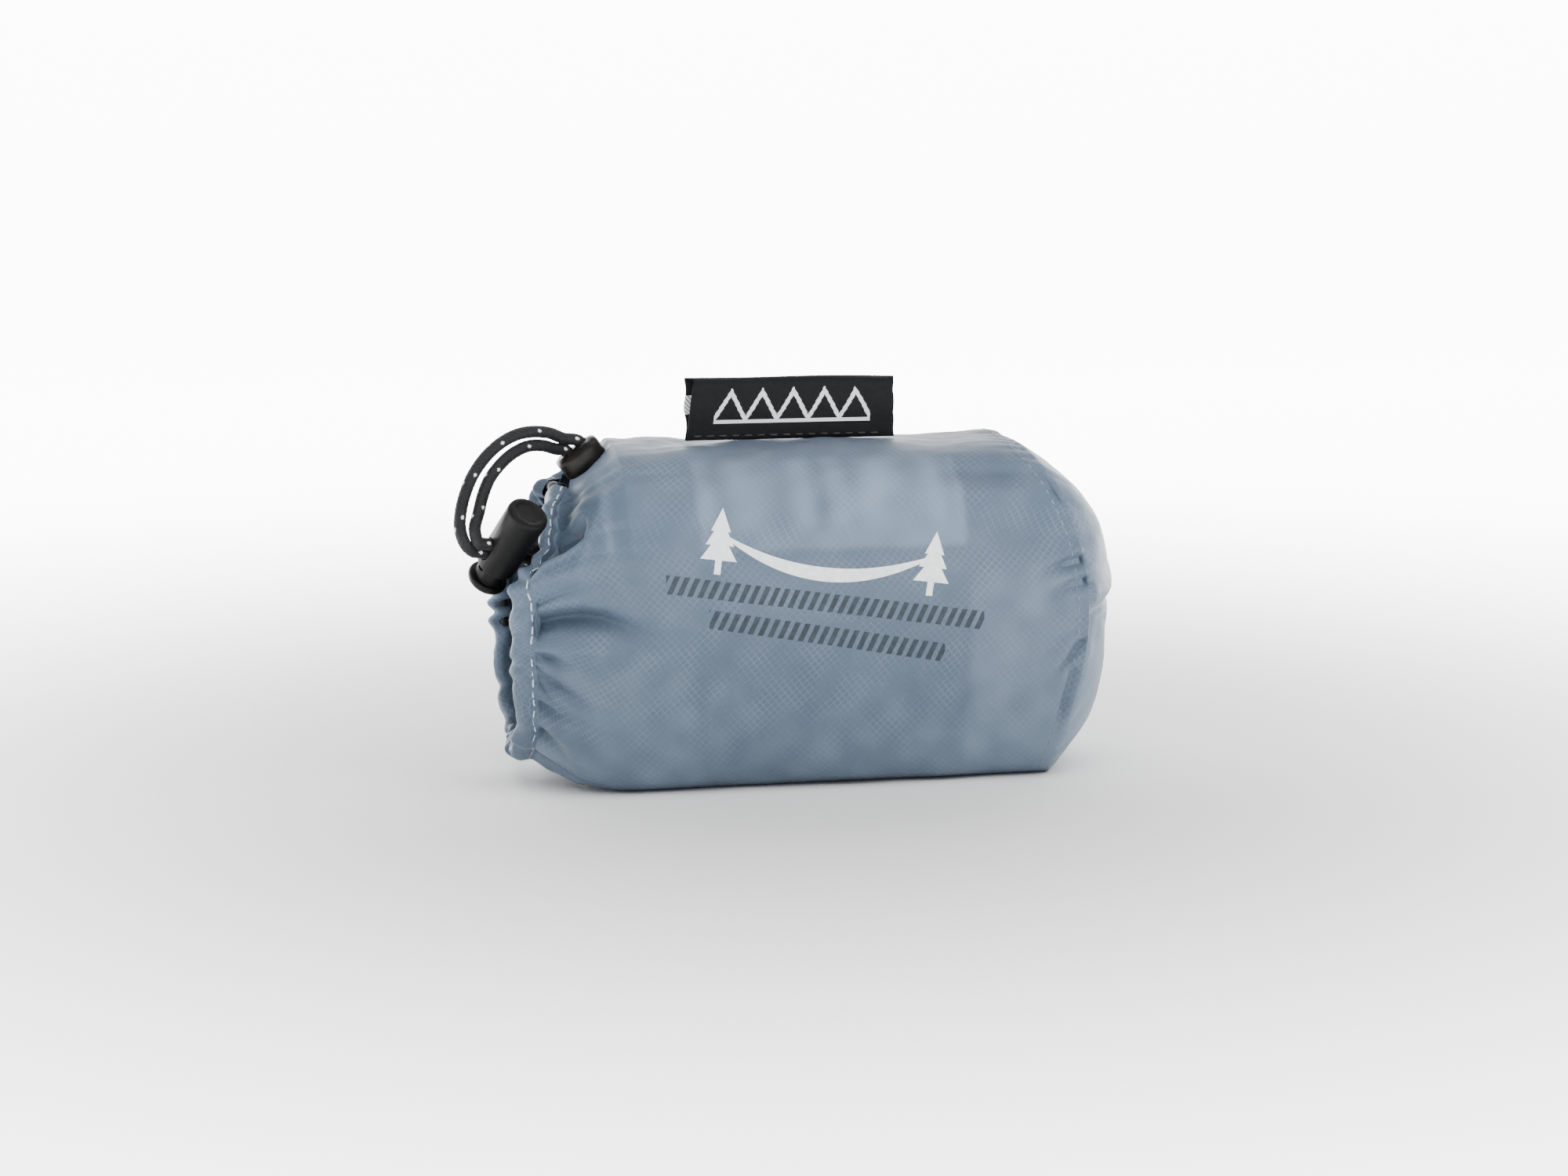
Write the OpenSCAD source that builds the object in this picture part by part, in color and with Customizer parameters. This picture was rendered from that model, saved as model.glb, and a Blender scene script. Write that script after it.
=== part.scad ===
// Packed hammock suspension kit: a ripstop stuff sack that lies on its side,
// with two rolled tree straps and two whoopie slings inside.
// X runs along the sack (mouth at -X, base at +X), -Y is the printed front, Z is up.
// The origin is on the resting face, midway along the sack.

/* [Sack] */
// Length of the packed sack, mouth rim to base
sack_l = 146; // [136:1:176]
// Height of the sack over its resting face
sack_h = 78; // [65:1:94]
// Depth of the sack, front to back
sack_d = 56; // [47:1:68]
// Thickness of the coated fabric
fabric_t = 0.4; // [0.3:0.1:0.6]
// How far the base panel bulges past its seam
base_bulge = 12.5; // [8:0.5:14]

/* [Mouth] */
// Depth of the gathered mouth, front to back, on the middle of the hem
mouth_d = 44; // [38:1:46]
// Width of the hem channel, stitching to fold
hem_w = 6; // [5.5:0.1:7.2]
// Thickness of the hem channel over its cord
hem_t = 4; // [4:0.1:4.8]
// Height of the mouth's lowest point over the resting face
mouth_low = 8; // [6:0.5:12]

/* [Drawcord] */
// Diameter of the braided drawcord
cord_dia = 2.8; // [2:0.1:3]

/* [Cord lock] */
// Outside diameter of the barrel
lock_dia = 9.6; // [8:0.1:10]
// Length of the barrel
lock_l = 17.8; // [16.5:0.1:21]
// Wall of the barrel
lock_wall = 1.1; // [0.9:0.1:1.3]
// How far the plunger can be pressed in
plunger_travel = 3.5; // [2:0.5:4]
// Thickness of the plunger's head
plunger_head_t = 2.6; // [2:0.1:3.2]

/* [Label] */
// Width of the folded woven label
label_w = 50; // [40:1:60]
// Height of the label over the ridge
label_h = 14.8; // [12:0.1:18]
// Thickness of the label's tape
label_t = 0.6; // [0.5:0.1:0.8]

/* [Tree straps] */
// Width of the webbing
webbing_w = 25; // [20:1:26]
// Thickness of the webbing
webbing_t = 1.2; // [1:0.1:1.4]

/* [Whoopie slings] */
// Diameter of the sling cord
sling_dia = 2.9; // [2.4:0.1:3.2]
// Turns in each sling's hank
sling_turns = 10; // [6:1:10]

/* [Hidden] */

gap = 0.3;                    // between pieces that lie on each other
cord_r = cord_dia / 2;
half_l = sack_l / 2;
half_d = sack_d / 2;
mid_z = sack_h / 2;
around = 40;                  // points round each section of the sack
fabric_colour = [0.47, 0.54, 0.62];

// ---- small helpers -------------------------------------------------------

function unit(v) = v / norm(v);
function sgn_pow(v, p) = sign(v) * pow(abs(v), p);
function smooth(t) = let(c = max(0, min(1, t))) c * c * (3 - 2 * c);
function angles(n) = [for (k = [0:n - 1]) 360 * k / n];

// Triangles between ring a and ring b of n points, numbered from fa and fb.
function band(fa, fb, n) = [for (k = [0:n - 1]) let(j = (k + 1) % n)
    each [[fa + k, fa + j, fb + j], [fa + k, fb + j, fb + k]]];
function turned(faces) = [for (f = faces) [f[2], f[1], f[0]]];
function fan(first, n) = [for (k = [1:n - 2]) [first, first + k, first + k + 1]];
function joined(rings) = [for (r = rings) each r];

// A solid through a row of rings, closed with flat ends or, as a loop, with none.
module skin(rings, loop = false) {
    n = len(rings[0]);
    m = len(rings);
    last = loop ? m - 1 : m - 2;
    sides = [for (i = [0:last]) each band(i * n, ((i + 1) % m) * n, n)];
    ends = loop ? [] : concat(turned(fan(0, n)), fan((m - 1) * n, n));
    polyhedron(joined(rings), turned(concat(sides, ends)), convexity = 6);
}

// A tube wall between outer and inner rings, open at both ends.
module shell(outer, inner) {
    n = len(outer[0]);
    m = len(outer);
    skip = m * n;
    sides_out = [for (i = [0:m - 2]) each band(i * n, (i + 1) * n, n)];
    sides_in = [for (i = [0:m - 2]) each band(skip + i * n, skip + (i + 1) * n, n)];
    first = band(skip, 0, n);
    last = band((m - 1) * n, skip + (m - 1) * n, n);
    polyhedron(concat(joined(outer), joined(inner)),
               turned(concat(sides_out, turned(sides_in), first, last)), convexity = 8);
}

// A bowl wall: the last outer and inner rings are closed with a fan.
module bowl(outer, inner) {
    n = len(outer[0]);
    m = len(outer);
    skip = m * n;
    sides_out = [for (i = [0:m - 2]) each band(i * n, (i + 1) * n, n)];
    sides_in = [for (i = [0:m - 2]) each band(skip + i * n, skip + (i + 1) * n, n)];
    rim = band(skip, 0, n);
    caps = concat(fan((m - 1) * n, n), turned(fan(skip + (m - 1) * n, n)));
    polyhedron(concat(joined(outer), joined(inner)),
               turned(concat(sides_out, turned(sides_in), rim, caps)), convexity = 8);
}

// Directions along a route, and a side direction carried along it without twist.
function tangents(p, loop = false) = let(m = len(p)) [for (i = [0:m - 1])
    unit(p[loop ? (i + 1) % m : min(i + 1, m - 1)] - p[loop ? (i + m - 1) % m : max(i - 1, 0)])];
function carried(t, i, side, out) = i == len(t) ? out
    : let(s = unit(side - (side * t[i]) * t[i])) carried(t, i + 1, s, concat(out, [s]));

// Rings of a round tube along a route.
function tube_rings(p, r, sides, start = [0, 0, 1]) = let(
    t = tangents(p), s = carried(t, 0, start, []))
    [for (i = [0:len(p) - 1]) [for (a = angles(sides))
        p[i] + r * (cos(a) * s[i] + sin(a) * cross(t[i], s[i]))]];

// A short stitch between two points.
module dash(a, b, dia) {
    v = b - a;
    translate(a) rotate([0, acos(v[2] / norm(v)), atan2(v[1], v[0])])
        cylinder(d = dia, h = norm(v), $fn = 6);
}

// ---- shape of the sack ---------------------------------------------------

top_round = 3.2;              // superellipse exponents of the section
low_round = 5;
rest_cut = 1;                 // flattens the underside where the sack lies
seam_x = half_l - base_bulge; // base seam at mid-height
seam_top_bow = 13.5;          // how far the base seam leans in at the ridge
seam_low_bow = 12;
ridge_end = -half_l + 26;     // where the shoulder of the mouth meets the ridge

// Height share of an angle, +1 at the ridge and -1 underneath.
function share(a) = let(p = sin(a) >= 0 ? 2 / top_round : 2 / low_round) sgn_pow(sin(a), p);
function across(a) = let(p = sin(a) >= 0 ? 2 / top_round : 2 / low_round) sgn_pow(cos(a), p);

// Full section, as [y, z], drawn in by t from the outside. Angle 0 is the front.
function section(a, t) = let(low = mid_z + rest_cut, g = share(a),
    z = g >= 0 ? mid_z + (mid_z - t) * g : mid_z + (low - t) * g)
    [-(half_d - t) * across(a), max(t, z)];

// The base seam, where the tube of the sack ends.
function seam_bow(a) = let(g = share(a), y = across(a))
    g > 0 ? seam_top_bow * g * g : seam_low_bow * g * g * (0.25 + 0.75 * y * y);
function seam_point(a, t) = let(s = section(a, t)) [seam_x - seam_bow(a), s[0], s[1]];

// The middle line of the hem channel, and the way from its stitching to its fold.
hem_round = 2.4;
hem_top = sack_h - 9.3;
hem_mid = (hem_top + mouth_low) / 2;
hem_half = (hem_top - mouth_low) / 2;
hem_narrow = 0.35;            // how much the mouth narrows to its top
lock_dent = 6;                // the cord lock holds the upper rim back
dent_z = hem_mid + 9;
rim_back = 3.2;               // middle of the hem channel, in from the mouth rim
function hem_share(a) = sgn_pow(sin(a), 2 / hem_round);
function hem_dent(z) = smooth((z - dent_z) / 9);
function hem_line(a) = let(g = hem_share(a), z = hem_mid + hem_half * g, up = max(0, g))
    [-half_l + rim_back + lock_dent * hem_dent(z) + 4.8 * pow(up, 5) + 1.5 * pow(max(0, -g), 2),
     -mouth_d / 2 * sgn_pow(cos(a), 2 / hem_round) * (1 - hem_narrow * pow(up, 1.5)), z];
function hem_out(a) = unit([0, hem_line(a)[1] / mouth_d, (hem_line(a)[2] - hem_mid) / hem_half / 2]);
function hem_across(a) = let(lean = 0.8 * (1 - hem_dent(hem_line(a)[2] + 2)) + 0.85 * pow(max(0, hem_share(a)), 6))
    unit([-lean, 0, 0] - sqrt(max(0.04, 1 - lean * lean)) * hem_out(a));

// Square to the hem line: towards the fold, and through the channel to the outside.
function hem_side(a) = let(run = unit(hem_line(a + 1) - hem_line(a - 1)), m = hem_across(a))
    unit(m - (m * run) * run);
function hem_face(a) = let(run = unit(hem_line(a + 1) - hem_line(a - 1)), n = cross(run, hem_side(a)))
    n * hem_out(a) > 0 ? n : -n;

// First ring of the sack's tube, just clear of the hem channel's stitched edge.
function edge_point(a, t) = hem_line(a) - (hem_w / 2 + 2 * gap) * hem_side(a) - t * hem_face(a);

// The shoulder between the mouth and the full section.
shoulder_end = [for (a = angles(around)) ridge_end + (1 - max(0, share(a))) * 3];
function shoulder(i, s, t) = let(a = 360 * i / around, e = edge_point(a, t), f = section(a, t),
    up = pow(max(0, share(a)), 4), k = (1 - up) * (1 - pow(1 - s, 2.3)) + up * pow(s, 1.5))
    [e[0] + (shoulder_end[i] - e[0]) * s, e[1] + (f[0] - e[1]) * k, max(t, e[2] + (f[1] - e[2]) * k)];
function barrel_part(i, s, t) = let(a = 360 * i / around, f = section(a, t), b = seam_point(a, t))
    [shoulder_end[i] + (b[0] - shoulder_end[i]) * s, f[0], f[1]];

shoulder_steps = [0, 0.1, 0.22, 0.36, 0.52, 0.68, 0.84];
barrel_steps = [0, 0.12, 0.27, 0.42, 0.57, 0.72, 0.86, 0.94, 1];
function sack_rings(t) = concat(
    [for (s = shoulder_steps) [for (i = [0:around - 1]) shoulder(i, s, t)]],
    [for (s = barrel_steps) [for (i = [0:around - 1]) barrel_part(i, s, t)]]);

// The base panel: a dome from the seam to its middle.
dome_mid_z = mid_z + 2;
function dome_point(a, s, t) = let(b = seam_point(a, t), r = 1 - s, k = 1 - pow(r, 2.2))
    [b[0] + gap + (half_l - t - b[0] - gap) * k, b[1] * r, dome_mid_z + (b[2] - dome_mid_z) * r];
dome_steps = [0, 0.08, 0.2, 0.34, 0.5, 0.68, 0.86, 0.97];
function dome_rings(t) = [for (s = dome_steps) [for (a = angles(around)) dome_point(a, s, t)]];

// ---- places of the cord exit, the lock and the cords -----------------------

// The guard lies on the slope of the shoulder, at the front end of the ridge.
guard_l = 11;
guard_w = 8.4;
guard_t = 4;
guard_tilt = 36;
guard_at = [-half_l + 18.9, 0, sack_h - 2.2];
guard_along = [cos(guard_tilt), 0, sin(guard_tilt)];
guard_up = [-sin(guard_tilt), 0, cos(guard_tilt)];
guard_pitch = cord_dia + 0.9; // between its two cord holes
guard_hole = cord_dia + 0.4;
function guard_cord(side, up) = guard_at + side * guard_pitch / 2 * guard_along + up * guard_up;

// The cord lock: its middle is where the cords cross it.
lock_at = guard_at + [-18.9, -14.4, -19.8];
lock_lean = 43;               // tilt from upright, closed end to the front
lock_turn = -57;
cord_turn = 75;               // turn of the cord slot round the barrel
slot_from_rim = 4.9;          // middle of the cord slot over the open rim
lock_axis = [sin(lock_lean) * cos(lock_turn), sin(lock_lean) * sin(lock_turn), cos(lock_lean)];
lock_side = [cos(lock_lean) * cos(lock_turn), cos(lock_lean) * sin(lock_turn), -sin(lock_lean)];
lock_back = [-sin(lock_turn), cos(lock_turn), 0];
cord_way = cos(cord_turn) * lock_side + sin(cord_turn) * lock_back;
strand_off = cord_r + 0.05;   // each strand's middle from the slot's middle
slot_clear = 0.25;            // round the cords in the slots
slot_w = cord_dia + 2 * slot_clear;
slot_l = 2 * (strand_off + cord_r) + 2 * slot_clear;
function lock_cord(side, way) = lock_at + side * strand_off * lock_axis + way * cord_way;
straight_in = lock_dia / 2 + 2.6;
straight_out = lock_dia / 2 + 0.6;

// Routes of the two cord tails, from the guard over to the lock and down to the knot:
// each arc is given from the guard, each drop from the lock.
upper_arc = [[-3.4, -0.5, 3.7], [-6.9, -2, 5.2], [-10.9, -3.8, 5.8], [-14.9, -5.8, 5.4],
             [-18.9, -8, 3.7], [-22.4, -10, 1], [-25.4, -12, -2.6], [-27.4, -13.8, -6.4],
             [-28.7, -15.4, -10.4], [-29.1, -16.7, -14.2], [-28.1, -17.6, -17.6]];
lower_arc = [[-5.5, -1, 1.4], [-8.5, -2.6, 2.4], [-12.1, -4.6, 2.6], [-15.7, -6.8, 1.4],
             [-18.9, -9, -0.8], [-21.7, -11.3, -3.8], [-23.5, -13.4, -7.2], [-24.8, -15.6, -11],
             [-25.9, -17.6, -14.4]];
upper_drop = [[6.8, 4.2, -3.6], [9.4, 4.4, -5.8], [10.5, 5, -9.2], [11, 5.4, -13.2],
              [11.2, 5.7, -17.2], [11.3, 5.9, -21]];
lower_drop = [[8.6, 3, -1.1], [11.7, 3.4, -3.2], [13.4, 4.5, -6.8], [14, 5.3, -10.8],
              [14.2, 5.8, -14.8], [14.3, 6, -18], [14.4, 6.1, -21]];
function placed(points, at) = [for (p = points) at + p];
function tail_route(hole, in_slot, arc, drop) = concat(
    [guard_cord(hole, -guard_t / 2), guard_cord(hole, guard_t / 2 + 0.4)], placed(arc, guard_at),
    [lock_cord(in_slot, -straight_in), lock_cord(in_slot, 0), lock_cord(in_slot, straight_out)],
    placed(drop, lock_at));
upper_route = tail_route(1, -1, upper_arc, upper_drop);
lower_route = tail_route(-1, 1, lower_arc, lower_drop);

// ---- sack ------------------------------------------------------------------

exit_cut_l = guard_pitch + guard_hole;
module cord_slot(w, l, h) {
    for (side = [-1, 1]) translate([side * (l - w) / 2, 0, -h / 2]) cylinder(d = w, h = h, $fn = 32);
    translate([-(l - w) / 2, -w / 2, -h / 2]) cube([l - w, w, h]);
}

module sack_body() {
    color(fabric_colour) difference() {
        shell(sack_rings(0), sack_rings(fabric_t));
        translate(guard_at - 4 * guard_up) rotate([0, -guard_tilt, 0])
            cord_slot(guard_hole, exit_cut_l, 7);
    }
}

module base_panel() {
    color(fabric_colour) bowl(dome_rings(0), dome_rings(fabric_t));
}

// A folded strip of fabric inside the base seam.
module base_seam_allowance() {
    strip_w = 5;
    strip_t = 1;
    color([0.42, 0.49, 0.57]) skin([for (a = angles(around)) let(
        b = seam_point(a, fabric_t + gap + strip_t / 2), r = unit([0, b[1], b[2] - mid_z]))
        [for (q = angles(6)) b + [-strip_w / 2 - gap, 0, 0] + r * strip_t / 2 * sin(q)
            + [strip_w / 2 * cos(q), 0, 0]]], loop = true);
}

stitch_dia = 0.4;
module base_seam_stitches() {
    count = 60;
    from_edge = [1.4, 0, 0];
    off = -(stitch_dia / 2 + 0.1);
    color("lightgrey") for (k = [0:count - 1]) let(
        a = seam_point(360 * k / count, off), b = seam_point(360 * (k + 0.6) / count, off)) {
        // none where the sack lies on its underside
        if (min(a[2], b[2]) > 1) dash(a - from_edge, b - from_edge, stitch_dia);
    }
}

// The seam that closes the tube runs along the ridge, its allowance inside.
ridge_seam_l = seam_x - seam_top_bow - ridge_end - 9;
module top_seam_allowance() {
    drop = 5;
    color([0.42, 0.49, 0.57]) translate([ridge_end + 2, -0.6, sack_h - fabric_t - gap - drop])
        cube([ridge_seam_l, 1.2, drop]);
}

// ---- mouth -----------------------------------------------------------------

hem_gap = 16;                 // degrees left open at the top, each side of the seam
hem_rings = 44;
hem_wall = 0.4;
function hem_angle(i) = 90 + hem_gap + (360 - 2 * hem_gap) * i / hem_rings;
function hem_ring(a, w, h) = [for (q = angles(12))
    hem_line(a) + hem_side(a) * w * cos(q) - hem_face(a) * h * sgn_pow(sin(q), 0.8)];

module mouth_hem() {
    color(fabric_colour) shell(
        [for (i = [0:hem_rings]) hem_ring(hem_angle(i), hem_w / 2, hem_t / 2)],
        [for (i = [0:hem_rings]) hem_ring(hem_angle(i), hem_w / 2 - hem_wall, hem_t / 2 - hem_wall)]);
}

module hem_stitches() {
    count = 52;
    off = hem_w / 2 - 0.6;
    lift = hem_t / 2 - 0.1;
    color("white") for (k = [0:count - 1]) let(
        a = 90 + hem_gap + (360 - 2 * hem_gap) * (k + 0.2) / count,
        b = 90 + hem_gap + (360 - 2 * hem_gap) * (k + 0.8) / count)
        dash(stitch_place(a, off, lift), stitch_place(b, off, lift), stitch_dia);
}
function stitch_place(a, off, lift) = hem_line(a) - hem_side(a) * off + hem_face(a) * lift;

// The black sleeve that both ends of the drawcord leave through.
module cord_exit_guard() {
    corner = 1.6;
    color([0.08, 0.08, 0.08]) translate(guard_at) rotate([0, -guard_tilt, 0]) difference() {
        union() {
            translate([-guard_l / 2 + corner, -guard_w / 2, -guard_t / 2])
                cube([guard_l - 2 * corner, guard_w, guard_t]);
            translate([-guard_l / 2, -guard_w / 2 + corner, -guard_t / 2])
                cube([guard_l, guard_w - 2 * corner, guard_t]);
            for (x = [-1, 1], y = [-1, 1])
                translate([x * (guard_l / 2 - corner), y * (guard_w / 2 - corner), -guard_t / 2])
                    cylinder(r = corner, h = guard_t, $fn = 32);
        }
        for (side = [-1, 1]) translate([side * guard_pitch / 2, 0, -guard_t])
            cylinder(d = guard_hole, h = 2 * guard_t, $fn = 32);
    }
}

// ---- labels ----------------------------------------------------------------

label_x = -4.3;               // middle of the label along the ridge
label_foot = 2;               // height of its sewn foot
label_open = 1.1;             // half the space inside the fold
label_z = sack_h + gap;
module label_loop() {
    r = label_open + label_t;
    color([0.05, 0.05, 0.06]) translate([label_x - label_w / 2, 0, label_z])
        rotate([90, 0, 90]) linear_extrude(label_w) difference() {
            union() {
                translate([-label_t, 0]) square([2 * label_t, label_foot]);
                polygon([[-label_t, label_foot - 0.4], [label_t, label_foot - 0.4],
                         [r, label_foot + 1], [r, label_h - r], [-r, label_h - r], [-r, label_foot + 1]]);
                translate([0, label_h - r]) circle(r = r, $fn = 32);
            }
            translate([-label_open, label_foot + 1]) square([2 * label_open, label_h - r - label_foot - 1]);
            translate([0, label_h - r]) circle(r = label_open, $fn = 32);
        }
}

module label_stitches() {
    pitch = 3;
    count = floor((label_w - 4) / pitch);
    color([0.02, 0.02, 0.02]) for (k = [0:count - 1], side = [-1, 1]) let(
        x = label_x - label_w / 2 + 2 + k * pitch, y = side * (label_t + stitch_dia / 2 + 0.05))
        dash([x, y, label_z + 1], [x + 0.6 * pitch, y, label_z + 1], stitch_dia);
}

// A printed care label sewn in the ridge seam, which hangs inside behind the front.
care_h = 23;
care_tilt = 38;
module care_label() {
    color("white") translate([hank_x, -0.6 - gap, sack_h - fabric_t - 2.6])
        rotate([-care_tilt, 0, 0]) translate([-hank_l / 2, -0.3, -care_h]) cube([hank_l, 0.3, care_h]);
}

// ---- drawcord --------------------------------------------------------------

// The cord inside the hem, and its two ways up to the guard.
loop_front = [[-6.2, -2.4, -7.3], [-4.5, -0.8, -7.8], [-1.1, 0, -8]];
loop_back = [[3.5, 0.3, -6.4], [1.3, 1.4, -9], [-1.9, 2.8, -10], [-5.7, 3, -8]];
module drawcord_loop() {
    route = concat([guard_cord(1, -guard_t / 2 - 0.1), guard_cord(1, -guard_t / 2 - 2.4)],
        placed(loop_back, guard_at), [for (i = [0:hem_rings]) hem_line(hem_angle(i))],
        placed(loop_front, guard_at),
        [guard_cord(-1, -guard_t / 2 - 2.4), guard_cord(-1, -guard_t / 2 - 0.1)]);
    color([0.06, 0.06, 0.06]) skin(tube_rings(route, cord_r, 8, [0, 1, 0]));
}

module drawcord_tail(route) {
    color([0.06, 0.06, 0.06]) skin(tube_rings(route, cord_r, 8, [0, 1, 0]));
}
module drawcord_tail_upper() drawcord_tail(upper_route);
module drawcord_tail_lower() drawcord_tail(lower_route);

// Both tails end in one overhand knot.
knot_at = lock_at + [12.9, 6, -24.4];
knot_flat = 3.3;              // its top is flat, where the tails run into it
module drawcord_knot() {
    color([0.06, 0.06, 0.06]) translate(knot_at) difference() {
        sphere(d = 8, $fn = 32);
        translate([-5, -5, knot_flat]) cube([10, 10, 2]);
    }
}

// ---- cord lock ---------------------------------------------------------------

module on_lock(rim) {
    translate(lock_at + rim * lock_axis) rotate([0, lock_lean, lock_turn]) children();
}
bore_d = lock_dia - 2 * lock_wall;
bore_l = lock_l - 1.5;
stem_d = bore_d - 0.4;
module cord_lock_barrel() {
    edge = 1;                 // rounding of the closed end
    color([0.07, 0.07, 0.07]) on_lock(-slot_from_rim) difference() {
        rotate_extrude($fn = 64) difference() {
            union() {
                square([lock_dia / 2, lock_l - edge]);
                square([lock_dia / 2 - edge, lock_l]);
                translate([lock_dia / 2 - edge, lock_l - edge]) circle(r = edge, $fn = 32);
            }
            translate([0, -1]) square([bore_d / 2, bore_l + 1]);
        }
        translate([0, 0, slot_from_rim]) rotate([0, 0, cord_turn]) rotate([0, 90, 0])
            cord_slot(slot_w, slot_l, 2 * lock_dia);
    }
}

head_gap = plunger_travel + 0.2;
stem_top = slot_from_rim + slot_l / 2 + 2.4;
plunger_slot_l = slot_l + plunger_travel;
module cord_lock_plunger() {
    color([0.09, 0.09, 0.09]) on_lock(-slot_from_rim) difference() {
        rotate_extrude($fn = 64) union() {
            translate([0, -head_gap - 0.1]) square([stem_d / 2, stem_top + head_gap + 0.1]);
            translate([0, -head_gap - plunger_head_t]) square([lock_dia / 2 - 0.8, plunger_head_t]);
            translate([0, -head_gap - plunger_head_t + 0.7])
                square([lock_dia / 2 - 0.1, plunger_head_t - 0.7]);
        }
        translate([0, 0, slot_from_rim - plunger_travel / 2]) rotate([0, 0, cord_turn])
            rotate([0, 90, 0]) cord_slot(slot_w, plunger_slot_l, 2 * lock_dia);
    }
}

module cord_lock_spring() {
    wire = 0.5;
    coils = 4;
    steps = 12;
    r = stem_d / 2 - wire;
    low = stem_top + wire / 2 + 0.05;
    rise = bore_l - wire / 2 - 0.05 - low;
    color("silver") on_lock(-slot_from_rim)
        skin(tube_rings([for (k = [0:coils * steps]) let(a = 360 * k / steps)
            [r * cos(a), r * sin(a), low + rise * k / (coils * steps)]], wire / 2, 8));
}

// ---- contents ----------------------------------------------------------------

floor_z = fabric_t + gap;
roll_d = sack_d - 10;         // depth of each rolled strap
roll_h = sack_h - 8;          // height of each rolled strap
roll_gap = 0.3;               // between the turns
roll_pitch = webbing_t + roll_gap;
roll_core = 5;
roll_turns = floor((roll_d / 2 - roll_core - webbing_t / 2) / roll_pitch);
left_roll_x = -half_l + 24.5;
right_roll_x = seam_x - seam_top_bow + 5 - webbing_w;
roll_steps = 16;

// A point of the roll's outline: a circle that grows turn by turn, pulled apart upright.
function roll_point(a, off) = let(r = roll_d / 2 - webbing_t / 2 - roll_pitch * (roll_turns - a / 360) + off,
    half = (roll_h - roll_d) / 2)
    [-r * cos(a), r * sin(a) + (sin(a) >= -0.001 ? half : -half)];
// Angles of the turns, with both ends of each straight run kept.
function roll_angles() = [for (k = [0:roll_turns * roll_steps])
    let(a = 360 * k / roll_steps) each (a % 180 == 0 && k > 0 ? [a - 0.6, a + 0.6] : [a])];
module strap_roll(x) {
    list = roll_angles();
    n = len(list);
    outline = concat([for (a = list) roll_point(a, webbing_t / 2)],
                     [for (k = [1:n]) roll_point(list[n - k], -webbing_t / 2)]);
    color([0.25, 0.27, 0.3]) translate([x, 0, floor_z + roll_h / 2])
        rotate([90, 0, 90]) linear_extrude(webbing_w) polygon(outline);
}
module tree_strap_left() strap_roll(left_roll_x);
module tree_strap_right() strap_roll(right_roll_x);

// Bartacks that close the sewn eye on the outer end of each strap.
module roll_bartacks(x) {
    y = -roll_d / 2 - stitch_dia / 2 - 0.05;
    color([0.75, 0.75, 0.72]) for (z = [8, 14], k = [0:5])
        dash([x + 3 + k * 3.4, y, floor_z + roll_h / 2 + z - 11],
             [x + 5 + k * 3.4, y, floor_z + roll_h / 2 + z - 9.4], stitch_dia);
}
module tree_strap_left_bartacks() roll_bartacks(left_roll_x);
module tree_strap_right_bartacks() roll_bartacks(right_roll_x);

// Each sling is wound to a flat hank that stands on its long edge.
sling_pitch = sling_dia + 0.3;
hank_l = right_roll_x - left_roll_x - webbing_w - 2 * gap;
hank_h = 25;
hank_steps = 16;
hank_x = left_roll_x + webbing_w + gap + hank_l / 2;
module sling_hank(z) {
    r = (hank_h - sling_dia) / 2;
    half = (hank_l - hank_h) / 2;
    depth = sling_pitch * sling_turns;
    route = [for (k = [0:sling_turns * hank_steps]) let(a = 90 + 360 * (k + 0.5) / hank_steps,
        c = cos(a)) [r * c + (c > 0 ? half : -half), sling_pitch * k / hank_steps - depth / 2, r * sin(a)]];
    color([0.55, 0.6, 0.3]) translate([hank_x, 0, z + hank_h / 2])
        skin(tube_rings(route, sling_dia / 2, 8, [0, 1, 0]));
}
module whoopie_sling_lower() sling_hank(floor_z);
module whoopie_sling_upper() sling_hank(floor_z + hank_h + gap);

sack_body();
base_panel();
base_seam_allowance();
base_seam_stitches();
top_seam_allowance();
mouth_hem();
hem_stitches();
cord_exit_guard();
label_loop();
label_stitches();
care_label();
drawcord_loop();
drawcord_tail_upper();
drawcord_tail_lower();
drawcord_knot();
cord_lock_barrel();
cord_lock_plunger();
cord_lock_spring();
tree_strap_left();
tree_strap_right();
tree_strap_left_bartacks();
tree_strap_right_bartacks();
whoopie_sling_lower();
whoopie_sling_upper();
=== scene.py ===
import functools
import math

import bmesh
import bpy
import numpy as np
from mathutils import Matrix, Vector


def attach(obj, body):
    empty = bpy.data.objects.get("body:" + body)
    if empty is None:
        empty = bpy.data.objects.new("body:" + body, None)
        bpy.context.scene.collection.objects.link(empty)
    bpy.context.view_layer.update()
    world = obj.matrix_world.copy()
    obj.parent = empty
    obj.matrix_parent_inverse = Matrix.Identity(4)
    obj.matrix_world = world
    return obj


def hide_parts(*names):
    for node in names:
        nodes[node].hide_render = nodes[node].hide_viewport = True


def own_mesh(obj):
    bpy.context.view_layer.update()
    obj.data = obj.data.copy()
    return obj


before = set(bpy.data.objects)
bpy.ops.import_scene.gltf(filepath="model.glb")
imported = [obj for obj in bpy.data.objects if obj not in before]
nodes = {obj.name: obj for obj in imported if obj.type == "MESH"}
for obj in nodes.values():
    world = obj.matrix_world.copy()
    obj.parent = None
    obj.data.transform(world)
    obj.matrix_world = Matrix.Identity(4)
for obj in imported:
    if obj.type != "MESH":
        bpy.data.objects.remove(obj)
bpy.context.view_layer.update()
print("frame loaded:", len(nodes), "nodes")

mm = 0.001
full = 2 * math.pi

# camera, floor and lights

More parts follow.
